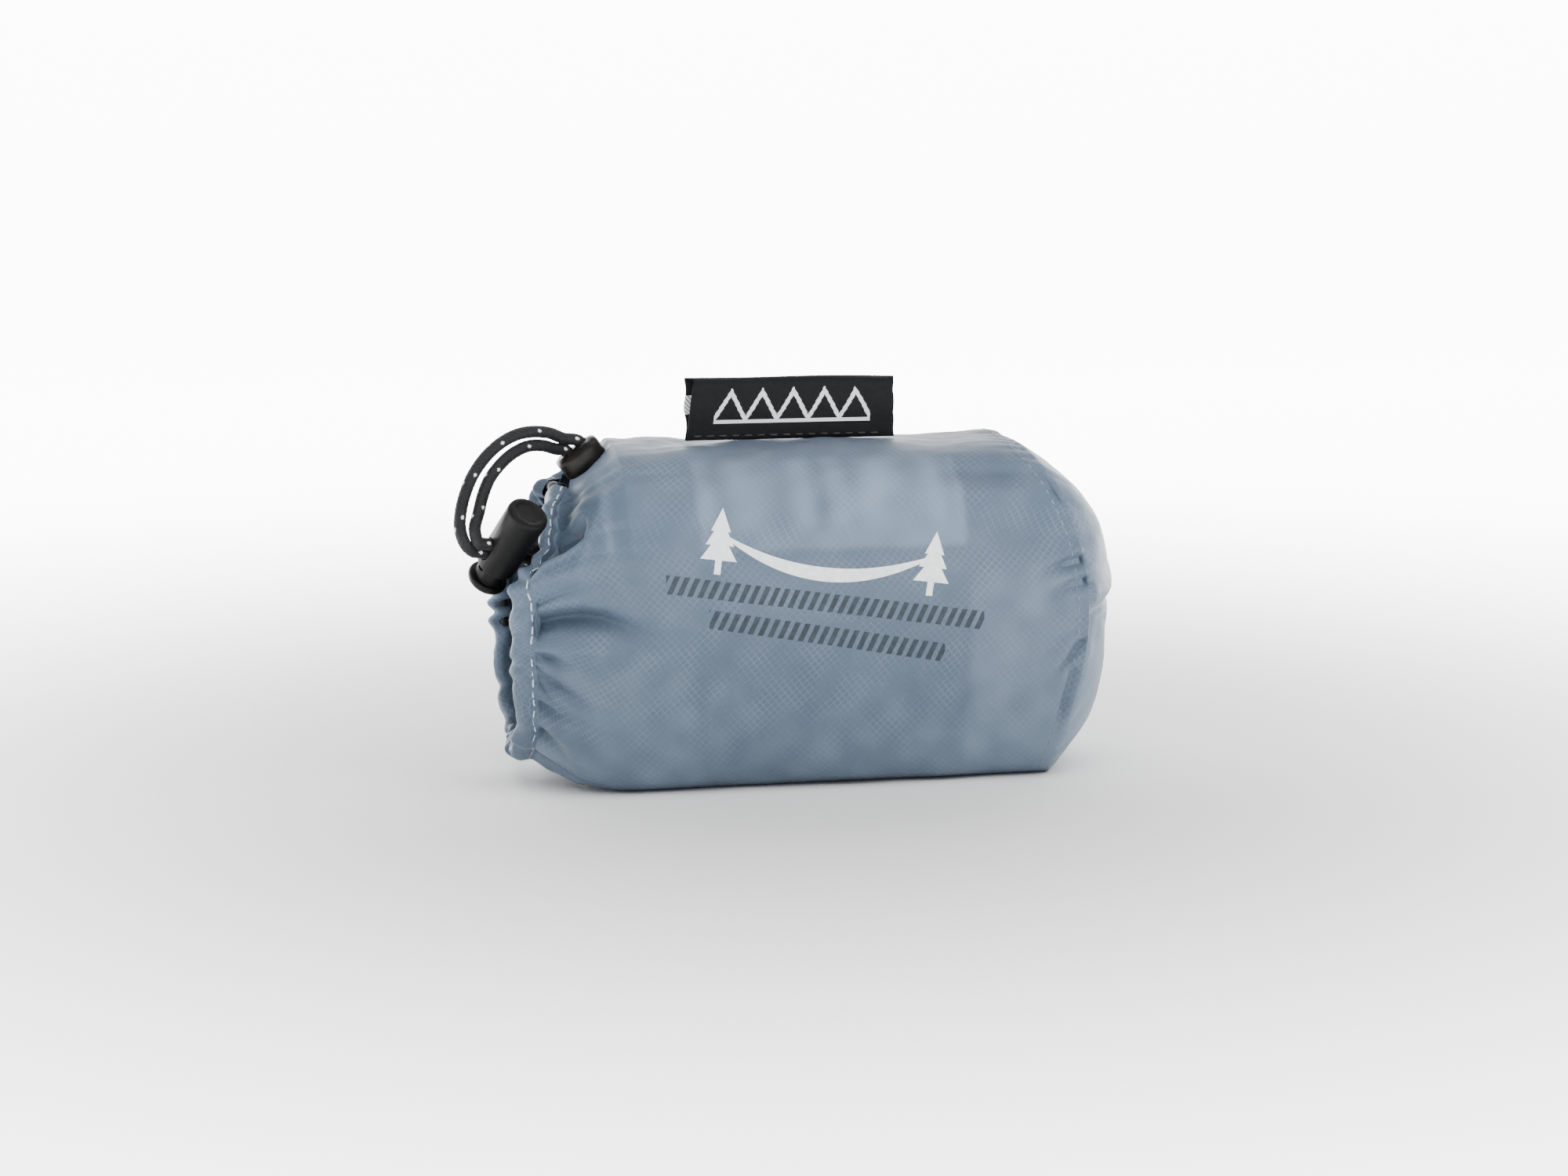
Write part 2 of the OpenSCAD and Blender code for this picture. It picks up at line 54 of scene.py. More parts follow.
view = {
    "aim": (0, 0, 38),  # mm
    "turn": -12,  # degrees round the sack, 0 looks along +Y
    "rise": 9.6,  # degrees above the floor
    "away": 700,  # mm
    "lens": 68.04,  # mm on a 36 mm wide sensor
    "shift": (-0.0155, 0.0125),
}
studio = {
    "floor": "#FBFBFA",
    "sweepBack": 900,  # mm behind the sack where the floor starts to turn up
    "sweepRound": 700,
    "keySize": 900,
    "keyPower": 5.0,
    "keyAt": (700, -650, 900),
    "topPower": 9.5,
    "topAt": (-60, -480, 1050),
    "worldLight": 0.34,
    "backGlow": 10.0,  # the paper round and behind glows, painted light that stands in for its own lamps, away from the sack
    "glowFrom": 85,  # mm from the sack's middle where that light starts
    "glowFull": 620,
    "glowTop": 450,  # mm above the floor where it ends
}


def srgb(text):  # hex sRGB to linear, channel by channel
    part = [int(text[i : i + 2], 16) / 255 for i in (1, 3, 5)]
    return (*(c / 12.92 if c <= 0.04045 else ((c + 0.055) / 1.055) ** 2.4 for c in part), 1.0)


def addNode(tree, kind, *values, out=0, sockets=None, **settings):
    # one node: kind may carry its operation after a colon, settings are its properties, values
    # fill its sockets in order, sockets by name; a value that is itself a socket is linked
    kind, _, operation = kind.partition(":")
    node = tree.nodes.new("ShaderNode" + kind)
    if operation:
        node.operation = operation
    for key, value in settings.items():
        setattr(node, key, value)
    for key, value in [*enumerate(values), *(sockets or {}).items()]:
        if isinstance(value, bpy.types.NodeSocket):
            tree.links.new(value, node.inputs[key])
        elif value is not None:
            node.inputs[key].default_value = value
    return node.outputs[out] if out is not None else node


def newMaterial(name):
    # an empty node material, and the call that puts a node into it
    made = bpy.data.materials.new(name)
    made.use_nodes = True
    made.node_tree.nodes.clear()
    return made, functools.partial(addNode, made.node_tree)


def finishMaterial(put, **sockets):
    # the shader and the output; socket names are written with underscores for spaces
    named = {key.replace("_", " "): value for key, value in sockets.items()}
    put("OutputMaterial", put("BsdfPrincipled", sockets=named), out=None)


inColour = {"data_type": "RGBA", "out": 2}  # a mix of two colours


def folded(put, kind, first, *rest):
    # several values brought together two at a time by nodes of one kind
    return put(kind, first, folded(put, kind, *rest)) if rest else first


def placeCamera():
    turn, rise = math.radians(view["turn"]), math.radians(view["rise"])
    back = Vector((math.sin(turn) * math.cos(rise), -math.cos(turn) * math.cos(rise), math.sin(rise)))
    data = bpy.data.cameras.new("camera")
    data.lens, data.sensor_width = view["lens"], 36
    data.shift_x, data.shift_y = view["shift"]
    data.clip_start, data.clip_end = 0.01, 50
    made = bpy.data.objects.new("camera", data)
    bpy.context.scene.collection.objects.link(made)
    made.location = (Vector(view["aim"]) + back * view["away"]) * mm
    made.rotation_mode = "QUATERNION"
    made.rotation_quaternion = (-back).to_track_quat("-Z", "Y")
    bpy.context.scene.camera = made


def addMesh(name, points, faces, uv=None, material=None, floats=None):
    # points in mm; uv has one pair for each face corner, in face order
    made = bpy.data.meshes.new(name)
    listed = faces.tolist() if isinstance(faces, np.ndarray) else faces
    made.from_pydata((np.asarray(points, float) * mm).tolist(), [], listed)
    if uv is not None:
        layer = made.uv_layers.new(name="UVMap")
        layer.data.foreach_set("uv", np.asarray(uv, np.float32).ravel())
    for key, value in (floats or {}).items():
        layer = made.attributes.new(key, "FLOAT", "POINT")
        layer.data.foreach_set("value", np.asarray(value, np.float32).ravel())
    made.polygons.foreach_set("use_smooth", [True] * len(made.polygons))
    made.update()
    made.validate()
    shown = bpy.data.objects.new(name, made)
    bpy.context.scene.collection.objects.link(shown)
    if material:
        made.materials.append(material)
    return shown


def gridFaces(rows, cols, loop):
    # quads between rows of points; with loop the last column joins the first
    r, c = np.meshgrid(np.arange(rows - 1), np.arange(cols if loop else cols - 1), indexing="ij")
    nextCol = (c + 1) % cols
    return np.stack([r * cols + c, r * cols + nextCol, (r + 1) * cols + nextCol, (r + 1) * cols + c], -1).reshape(-1, 4)


def cappedFaces(rows, cols):
    # a grid that closes round, with one flat face over each end
    ends = [list(range(cols))[::-1], list(range((rows - 1) * cols, rows * cols))]
    return gridFaces(rows, cols, True).tolist() + ends


def pointedFaces(rows, cols):
    # a grid that closes round, with its ends drawn to two points that follow the grid's own
    k = np.arange(cols)
    last = (rows - 1) * cols
    first = np.stack([(k + 1) % cols, k, np.full(cols, rows * cols)], 1)
    end = np.stack([last + k, last + (k + 1) % cols, np.full(cols, rows * cols + 1)], 1)
    return gridFaces(rows, cols, True).tolist() + first.tolist() + end.tolist()


def gridUv(u, v):
    # corner pairs for gridFaces; u and v are given on rows by cols, with one column more for a loop
    pairs = np.stack([u, v], -1)
    return np.stack([pairs[:-1, :-1], pairs[:-1, 1:], pairs[1:, 1:], pairs[1:, :-1]], 2).reshape(-1, 2)


def addGrid(name, points, u, v, loop, material, floats=None):
    faces = gridFaces(*points.shape[:2], loop)
    return addMesh(name, points.reshape(-1, 3), faces, gridUv(u, v), material, floats)


def inFrame(piece, bodyName, node):
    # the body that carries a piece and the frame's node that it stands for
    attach(piece, bodyName)
    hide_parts(node)


def addStudio():
    made, put = newMaterial("paperSweepMatt")  # matt white paper: no shine, a trace of grain
    place = put("TexCoord", out=3)
    grain = put("TexNoise", sockets={"Vector": place, "Scale": 900.0})
    split = put("SeparateXYZ", place, out=None)
    away = put("VectorMath:LENGTH", place, out=1)
    # painted light: the paper glows, more the farther it lies from the sack, fading out up to glowTop
    behind = put("MapRange", away, studio["glowFrom"] * mm, studio["glowFull"] * mm, 0.0, 1.0,
                 interpolation_type="SMOOTHSTEP")
    above = put("MapRange", split.outputs[2], 0.6 * studio["glowTop"] * mm, studio["glowTop"] * mm, studio["backGlow"],
                0.0, interpolation_type="SMOOTHSTEP")
    finishMaterial(put, Base_Color=srgb(studio["floor"]), Roughness=0.9, Specular_IOR_Level=0.2,
                   Emission_Color=(1, 1, 1, 1), Emission_Strength=put("Math:MULTIPLY", behind, above),
                   Normal=put("Bump", sockets={"Height": grain, "Strength": 0.02, "Distance": 0.0002}))
    back, turn = studio["sweepBack"], studio["sweepRound"]
    a = np.linspace(0, math.pi / 2, 24)
    y = np.concatenate([[-3000, -1000, 0], back + turn * np.sin(a), [back + turn]])
    z = np.concatenate([[0, 0, 0], turn * (1 - np.cos(a)), [3500]])
    x = np.linspace(-3500, 3500, 3)
    grid = np.stack(np.broadcast_arrays(x[None, :], y[:, None], z[:, None]), -1)
    u, v = np.broadcast_arrays(x[None, :] * mm, y[:, None] * mm)
    floor = addGrid("paperSweep", grid, u, v, False, made)
    for name, power, at in (("keyLight", studio["keyPower"], studio["keyAt"]),
                            ("topLight", studio["topPower"], studio["topAt"])):
        data = bpy.data.lights.new(name, "AREA")
        data.energy, data.size = power, studio["keySize"] * mm
        lamp = bpy.data.objects.new(name, data)
        bpy.context.scene.collection.objects.link(lamp)
        lamp.location = Vector(at) * mm
        lamp.rotation_euler = (Vector((0, 0, 40)) * mm - lamp.location).to_track_quat("-Z", "Y").to_euler()
    world = bpy.data.worlds.new("softRoom")
    world.use_nodes = True
    world.node_tree.nodes["Background"].inputs[0].default_value = (1, 1, 1, 1)
    world.node_tree.nodes["Background"].inputs[1].default_value = studio["worldLight"]
    bpy.context.scene.world = world


placeCamera()
addStudio()
print("camera and studio placed")

# places shared with the frame

halfLength, halfDepth, midHeight = 73.0, 28.0, 39.0  # mm, the sack
cordRadius = 1.4
guardTilt = math.radians(36)
guardAt = np.array([-54.1, 0, 75.8])
guardAlong = np.array([math.cos(guardTilt), 0, math.sin(guardTilt)])
guardUp = np.array([-math.sin(guardTilt), 0, math.cos(guardTilt)])
guardPitch = 3.7  # between its two cords

lockAt = np.array([-73, -14.4, 56])
lockLean, lockTurn, slotTurn = math.radians(43), math.radians(-57), math.radians(75)
leanS, leanC = math.sin(lockLean), math.cos(lockLean)
turnS, turnC = math.sin(lockTurn), math.cos(lockTurn)
lockAxis = np.array([leanS * turnC, leanS * turnS, leanC])
lockSide = np.array([leanC * turnC, leanC * turnS, -leanS])
lockBack = np.array([-turnS, turnC, 0])
cordWay = math.cos(slotTurn) * lockSide + math.sin(slotTurn) * lockBack


def guardCord(side, up):  # a place on one of the two cords in the guard
    return guardAt + side * guardPitch / 2 * guardAlong + up * guardUp


def lockCord(side, way):  # a place on one of the two cords in the lock's slot
    return lockAt + side * (cordRadius + 0.05) * lockAxis + way * cordWay


def runAlong(points):  # lengths along a line of points, from its first
    return np.concatenate([[0], np.cumsum(np.linalg.norm(np.diff(points, axis=0), axis=1))])


def signedPower(value, power):
    return np.sign(value) * np.abs(value) ** power


def smooth(t):  # 0 below 0, 1 above 1, an S between
    t = np.clip(t, 0, 1)
    return t * t * (3 - 2 * t)


def unit(v):
    return v / np.linalg.norm(v, axis=-1, keepdims=True)


# drawcord

cordLooks = {
    "grooveShade": "#030304",
    "crown": "#202126",
    "tracer": "#E9EAEA",
    "strands": 8,  # in each direction round the braid
    "lay": 10.4,  # mm along the cord for one turn of a strand
    "depth": 0.13,  # mm from the top of a strand to the groove beside it
    "tracerEvery": 4,
    "step": 0.22,  # mm between rings
    "sides": 48,
}


def smoothPath(points, step):
    # a curve through the points (centripetal Catmull-Rom), cut again into even steps
    p = np.asarray(points, float)
    p = np.vstack([2 * p[0] - p[1], p, 2 * p[-1] - p[-2]])
    t = np.concatenate([[0], np.cumsum(np.linalg.norm(np.diff(p, axis=0), axis=1) ** 0.5)])
    s = np.linspace(0, 1, 24, endpoint=False)[:, None]
    out = []
    for i in range(1, len(p) - 2):
        at = t[i] + (t[i + 1] - t[i]) * s
        a = [((t[j + 1] - at) * p[j] + (at - t[j]) * p[j + 1]) / (t[j + 1] - t[j]) for j in (i - 1, i, i + 1)]
        b = [((t[j + 2] - at) * a[k] + (at - t[j]) * a[k + 1]) / (t[j + 2] - t[j]) for k, j in ((0, i - 1), (1, i))]
        out.append(((t[i + 1] - at) * b[0] + (at - t[i]) * b[1]) / (t[i + 1] - t[i]))
    fine = np.vstack([*out, p[-2:-1]])
    run = runAlong(fine)
    even = np.linspace(0, run[-1], max(4, int(round(run[-1] / step)) + 1))
    return np.stack([np.interp(even, run, fine[:, k]) for k in range(3)], 1), even


def carriedFrame(path, start):
    # tangent, side and up along the path, the side carried on without twist
    tangent = unit(np.gradient(path, axis=0))
    side = np.empty_like(path)
    last = np.asarray(start, float)
    for i, t in enumerate(tangent):
        last = unit(last - (last @ t) * t)
        side[i] = last
    return tangent, side, np.cross(tangent, side)


def braid(run, angle, looks):
    # two families of strands wind round in opposite ways; each stands up where it passes over.
    # returns the height of the surface, 0 to 1, and how far a white tracer shows
    n, lay = looks["strands"], looks["lay"]
    a = n * (angle / full - run / lay)
    b = n * (angle / full + run / lay)
    over = np.sin(math.pi * a) * np.sin(math.pi * b)
    roundA, roundB = np.abs(np.sin(math.pi * a)) ** 0.7, np.abs(np.sin(math.pi * b)) ** 0.7
    lift = smooth(over * 3 + 0.5)
    height = lift * roundA + (1 - lift) * roundB * 0.98
    first = np.floor(a) % n == 0
    every = np.floor(b) % looks["tracerEvery"] == 0
    tracer = first * every * smooth((over - 0.12) * 6)
    return height, tracer


def braidedTube(name, points, looks, material, radius=cordRadius, start=(0, 1, 0)):
    path, run = smoothPath(points, looks["step"])
    tangent, side, up = carriedFrame(path, start)
    angle = np.linspace(0, full, looks["sides"], endpoint=False)
    height, tracer = braid(run[:, None], angle[None, :], looks)
    r = radius - looks["depth"] * (1 - height)
    r[0] *= 0.55
    r[-1] *= 0.55
    ring = np.cos(angle)[None, :, None] * side[:, None] + np.sin(angle)[None, :, None] * up[:, None]
    grid = path[:, None] + r[..., None] * ring
    rows, cols = grid.shape[:2]
    wide = np.linspace(0, full * radius, cols + 1)
    uv = gridUv(*np.broadcast_arrays(run[:, None] * mm, wide[None, :] * mm))
    uv = np.vstack([uv, np.zeros((2 * cols, 2))])
    floats = {"tracer": tracer, "strand": height}
    return addMesh(name, grid.reshape(-1, 3), cappedFaces(rows, cols), uv, material, floats), path, run[-1]


def cordMaterial():
    # braided polyester: dull black yarns, painted darker in the grooves and brighter along each crown as shade, white
    # tracers
    made, put = newMaterial("braidedPolyesterCord")
    strand = put("Attribute", out=2, attribute_name="strand")
    tracer = put("Attribute", out=2, attribute_name="tracer")
    uvMap = put("UVMap", uv_map="UVMap")
    fibre = put("TexNoise", sockets={"Vector": uvMap, "Scale": 5200.0, "Detail": 3.0})  # 0.2 mm filaments
    # painted shade: the lower the braid's surface, the darker
    tone = put("Math:MULTIPLY", strand, put("Math:MULTIPLY", fibre, 0.7))
    dark = put("Mix", sockets={"Factor": tone, "A": srgb(cordLooks["grooveShade"]), "B": srgb(cordLooks["crown"])}, **inColour)
    colour = put("Mix", sockets={"Factor": tracer, "A": dark, "B": srgb(cordLooks["tracer"])}, **inColour)
    finishMaterial(put, Base_Color=colour, Roughness=0.62, Specular_IOR_Level=0.3,
                   Sheen_Weight=0.05, Sheen_Roughness=0.5,
                   Normal=put("Bump", sockets={"Height": fibre, "Strength": 0.35, "Distance": 0.00006}))
    return made


cordLook = cordMaterial()
inLock = (-7.4, -6.4, -3, 0, 3, 5.4)  # mm each way from the middle of the slot, where a cord runs straight
arcs = {  # over from the guard, in mm from its middle
    "upper": [
        (-3.4, -0.5, 3.7), (-6.9, -2, 5.2), (-10.9, -3.8, 5.8), (-14.9, -5.8, 5.4), (-18.9, -8, 3.7),
        (-22.4, -10, 1), (-25.4, -12, -2.6), (-27.4, -13.8, -6.4), (-28.7, -15.4, -10.4),
        (-29.1, -16.7, -14.2), (-28.1, -17.6, -17.6),
    ],
    "lower": [
        (-5.5, -1, 1.4), (-8.5, -2.6, 2.4), (-12.1, -4.6, 2.6), (-15.7, -6.8, 1.4), (-18.9, -9, -0.8),
        (-21.7, -11.3, -3.8), (-23.5, -13.4, -7.2), (-24.8, -15.6, -11), (-25.9, -17.6, -14.4),
    ],
}
drops = {  # down into the mouth, in mm from the middle of the lock
    "upper": [
        (6.8, 4.2, -3.6), (9.4, 4.4, -5.8), (10.5, 5, -9.2), (11, 5.4, -13.2), (11.2, 5.7, -17.2),
        (11.3, 5.9, -21),
    ],
    "lower": [
        (8.6, 3, -1.1), (11.7, 3.4, -3.2), (13.4, 4.5, -6.8), (14, 5.3, -10.8), (14.2, 5.8, -14.8),
        (14.3, 6, -18), (14.4, 6.1, -21),
    ],
}


def tailRoute(which, hole, inSlot):
    # out of the guard, over in an arch, straight through the lock and down into the mouth
    return [guardCord(hole, -2), guardCord(hole, 2.4), *(guardAt + np.array(p) for p in arcs[which]),
            *(lockCord(inSlot, way) for way in inLock), *(lockAt + np.array(p) for p in drops[which])]


tails = {}
for which, hole, inSlot in (("upper", 1, -1), ("lower", -1, 1)):
    route = tailRoute(which, hole, inSlot)
    tube, path, length = braidedTube("drawcordTail" + which.title(), route, cordLooks, cordLook)
    inFrame(tube, "sack", "drawcord_tail_" + which)
    tails[which] = (tube, path, length)
    print("tail", which, "is", round(length, 1), "mm long")

# shape of the sack

sack = {
    "cols": 560,  # points round the cloth
    "shoulderRows": 62,
    "barrelRows": 84,
    "hemRows": 34,
    "lobes": 27,  # gathers round the mouth
    "gatherDepth": 2.4,  # mm, crest to valley at the stitching
    "gatherRun": 12.0,  # mm that a gather runs up the cloth
    "waves": 26,  # long soft wrinkles
    "waveDepth": 0.16,  # mm each
    "seamDip": 0.45,  # mm the cloth sinks along the base seam
    "puckers": 46,  # along the base seam
    "flatUnder": 3.0,  # mm above the floor where the folds start to be pressed flat
}
topRound, lowRound, restCut = 3.2, 5.0, 1.0  # powers of the section above and below, mm cut flat underneath
seamX, seamTopBow, seamLowBow = 60.5, 13.5, 12.0  # the base seam and how far it bows at the top and underneath
ridgeEnd = -47.0  # where the full section starts to draw in towards the mouth
hemWide, hemThick = 6.0, 4.0
hemRound, hemMid, hemHalf = 2.4, 38.35, 30.35  # power, middle height and half height of the mouth
mouth = {
    "deep": 22,  # mm from its middle to its front and back
    "narrowTop": 0.35,  # share that it is narrower at its top
    "back": 3.2,  # mm behind the farthest point of the sack
    "topBack": 4.8,
    "lowBack": 1.5,
    "dent": 6,  # mm that the cord lock holds it back
    "dentFrom": 47.35,  # mm above the floor
    "dentOver": 9,
}
rng = np.random.default_rng(11)


def shareUp(a):  # height on the section, from -1 underneath to 1 on top
    return np.where(np.sin(a) >= 0, signedPower(np.sin(a), 2 / topRound), signedPower(np.sin(a), 2 / lowRound))


def shareAcross(a):  # and how far out it is, from -1 to 1
    return np.where(np.sin(a) >= 0, signedPower(np.cos(a), 2 / topRound), signedPower(np.cos(a), 2 / lowRound))


def section(a):
    # a superellipse, squarer underneath and cut flat where it rests: each of the sine and cosine of
    # the angle is raised to two over the power
    g = shareUp(a)
    z = np.where(g >= 0, midHeight + midHeight * g, midHeight + (midHeight + restCut) * g)
    return np.stack([-halfDepth * shareAcross(a), np.maximum(z, 0)], -1)


def seamBow(a):  # how far the base seam lies in from its farthest point, growing with height squared
    g, y = shareUp(a), shareAcross(a)
    return np.where(g > 0, seamTopBow * g * g, seamLowBow * g * g * (0.25 + 0.75 * y * y))


def hemShare(a):  # height on the mouth, from -1 to 1
    return signedPower(np.sin(a), 2 / hemRound)


def hemDent(z):  # 0 low down, 1 where the cord lock holds the hem back
    return smooth((z - mouth["dentFrom"]) / mouth["dentOver"])


def hemLine(a):
    # the middle of the hem channel: a rounded loop, narrower at its top, held back by the cord lock
    g = hemShare(a)
    z = hemMid + hemHalf * g
    up = np.maximum(g, 0)
    x = -halfLength + mouth["back"] + mouth["dent"] * hemDent(z)
    x = x + mouth["topBack"] * up**5 + mouth["lowBack"] * np.maximum(-g, 0) ** 2
    y = -mouth["deep"] * signedPower(np.cos(a), 2 / hemRound) * (1 - mouth["narrowTop"] * up**1.5)
    return np.stack([x, y, z], -1)


def hemOut(a):  # outwards from the mouth's middle, as on an ellipse
    line = hemLine(a)
    return unit(np.stack([0 * a, line[..., 1] / 44, (line[..., 2] - hemMid) / hemHalf / 2], -1))


def hemAxes(a):
    # across the channel towards its fold, and through it to the outside
    run = unit(hemLine(a + 0.0175) - hemLine(a - 0.0175))
    lean = 0.8 * (1 - hemDent(hemLine(a)[..., 2] + 2)) + 0.85 * np.maximum(hemShare(a), 0) ** 6
    out = hemOut(a)
    across = unit(np.stack([-lean, 0 * a, 0 * a], -1) - np.sqrt(np.maximum(0.04, 1 - lean**2))[..., None] * out)
    side = unit(across - np.sum(across * run, -1, keepdims=True) * run)
    face = np.cross(run, side)
    face = np.where(np.sum(face * out, -1, keepdims=True) > 0, face, -face)
    return side, face


def clothAngles(count):
    # angles spaced so that both the full section and the mouth get evenly spread points
    t = np.linspace(0, 1, 4001)
    quarter = t**3 / (t**3 + (1 - t) ** 3) * math.pi / 2
    a = np.concatenate([quarter + k * math.pi / 2 for k in range(4)])
    a = np.unique(a)
    body, rim = runAlong(section(a)), runAlong(hemLine(a))
    both = body / body[-1] + rim / rim[-1]
    even = np.linspace(0, both[-1], count + 1)
    angle = np.interp(even, both, a)
    return angle[:-1], np.interp(even, both, body), np.interp(even, both, rim / rim[-1])


colAngle, colWide, colMouth = clothAngles(sack["cols"])  # angle, mm round the cloth, share round the mouth
flatRound = colWide[-1]


def bodyBase():
    # rows from the hem's stitching over the shoulder and along to the base seam
    a = colAngle[None, :]
    s = np.linspace(0, 1, sack["shoulderRows"])[:-1, None]
    edge = (hemLine(colAngle) - (hemWide / 2 + 0.2) * hemAxes(colAngle)[0])[None]
    sec = section(colAngle)[None]
    up4 = np.maximum(shareUp(a), 0) ** 4
    k = (1 - up4) * (1 - (1 - s) ** 2.3) + up4 * s**1.5
    endX = ridgeEnd + (1 - np.maximum(shareUp(a), 0)) * 3
    x = edge[..., 0] + (endX - edge[..., 0]) * s
    y = edge[..., 1] + (sec[..., 0] - edge[..., 1]) * k
    z = edge[..., 2] + (sec[..., 1] - edge[..., 2]) * k
    shoulder = np.stack([x, y, z], -1)
    t = np.linspace(0, 1, sack["barrelRows"])[:, None]
    x = endX + (seamX - seamBow(a) - endX) * t
    barrel = np.stack(np.broadcast_arrays(x, sec[..., 0], sec[..., 1]), -1)
    return np.concatenate([shoulder, barrel])


def panelBase(rows):
    # the base panel: a dome from the seam to its middle, rising as one minus the cube of the radius
    s = np.linspace(0, 0.985, rows)[:, None]
    a = colAngle[None, :]
    sec = section(colAngle)[None]
    r = 1 - s
    k = 1 - r**3
    seam = seamX - seamBow(a)
    x = seam + (halfLength - 2.3 - seam) * k
    return np.stack(np.broadcast_arrays(x, sec[..., 0] * r, 41 + (sec[..., 1] - 41) * r), -1)


def normals(grid, inside):
    # across the two directions of a grid that closes round, turned away from a point inside
    acrossCols = np.roll(grid, -1, 1) - np.roll(grid, 1, 1)
    n = np.cross(acrossCols, np.gradient(grid, axis=0))
    n = n / np.maximum(np.linalg.norm(n, axis=-1, keepdims=True), 1e-9)
    outward = np.sum(n * (grid - inside), -1, keepdims=True)
    return n * np.where(np.median(outward) > 0, 1, -1)


def softNoise(u, v, count, shortest, longest, seed):
    # a sum of plane waves over the cloth; whole numbers of waves go round it
    draw = np.random.default_rng(seed)
    out = np.zeros(np.broadcast_shapes(u.shape, v.shape))
    for _ in range(count):
        wave = math.exp(draw.uniform(math.log(shortest), math.log(longest)))
        turn = draw.uniform(0, math.pi)
        rounds = round(math.cos(turn) / wave * flatRound)
        out += np.sin(full * (rounds * v / flatRound + math.sin(turn) / wave * u) + draw.uniform(0, full))
    return out / math.sqrt(count)


def gathers(share):
    # uneven lobes round the mouth: round crests, sharp valleys; 0 in a valley, 1 on a crest
    phase = sack["lobes"] * share
    for k, size in ((2, 0.55), (3, 0.5), (5, 0.4), (9, 0.28)):
        phase = phase + size * np.sin(full * k * share + 1.7 * k)
    return np.abs(np.sin(math.pi * phase)) ** 0.75, phase


def puckers(v):
    # small even puckers along the base seam, their spacing a little uneven
    phase = sack["puckers"] * v / flatRound + 0.6 * np.sin(full * 5 * v / flatRound)
    return np.abs(np.sin(math.pi * phase)) ** 0.8 - 0.6


def runDown(base):
    # lengths down each column of a grid, and the length round the cloth at each of its points
    step = np.linalg.norm(np.diff(base, axis=0), axis=-1)
    u = np.concatenate([np.zeros((1, base.shape[1])), np.cumsum(step, 0)])
    return u, np.broadcast_to(colWide[None, :-1], u.shape)


def moved(base, n, move):
    # the cloth moved along its normals; the underside lies flat
    under = sack["flatUnder"]
    grid = base + n * (move * (1 - 0.85 * smooth((under - base[..., 2]) / under)))[..., None]
    grid[..., 2] = np.maximum(grid[..., 2], 0.03)
    return grid


def crease(points, x, z, y, depth, below, above, ridge=0.0, fadeIn=0.15, fadeOut=0.4):
    # a fold on the front: a valley along a line of (x, z) points, with its own width below and above it,
    # and a soft ridge under it; it fades at both ends
    p = np.asarray(points, float)
    best = np.full(x.shape, 1e9)
    signed = np.zeros(x.shape)
    along = np.zeros(x.shape)
    run = runAlong(p)
    for i in range(len(p) - 1):
        d = p[i + 1] - p[i]
        size = np.linalg.norm(d)
        t = np.clip(((x - p[i, 0]) * d[0] + (z - p[i, 1]) * d[1]) / size**2, 0, 1)
        dx, dz = x - p[i, 0] - t * d[0], z - p[i, 1] - t * d[1]
        dist = np.hypot(dx, dz)
        near = dist < best
        best = np.where(near, dist, best)
        signed = np.where(near, np.sign(dz * d[0] - dx * d[1]) * dist, signed)
        along = np.where(near, (run[i] + t * size) / run[-1], along)
    width = np.where(signed < 0, below, above)
    shape = -np.exp(-((signed / width) ** 2)) + ridge * np.exp(-(((signed + 1.9 * below) / (1.3 * below)) ** 2))
    ends = smooth(along / max(fadeIn, 1e-3)) if fadeIn > 0 else 1
    return depth * shape * ends * smooth((1 - along) / fadeOut) * smooth((-y - 2) / 6)


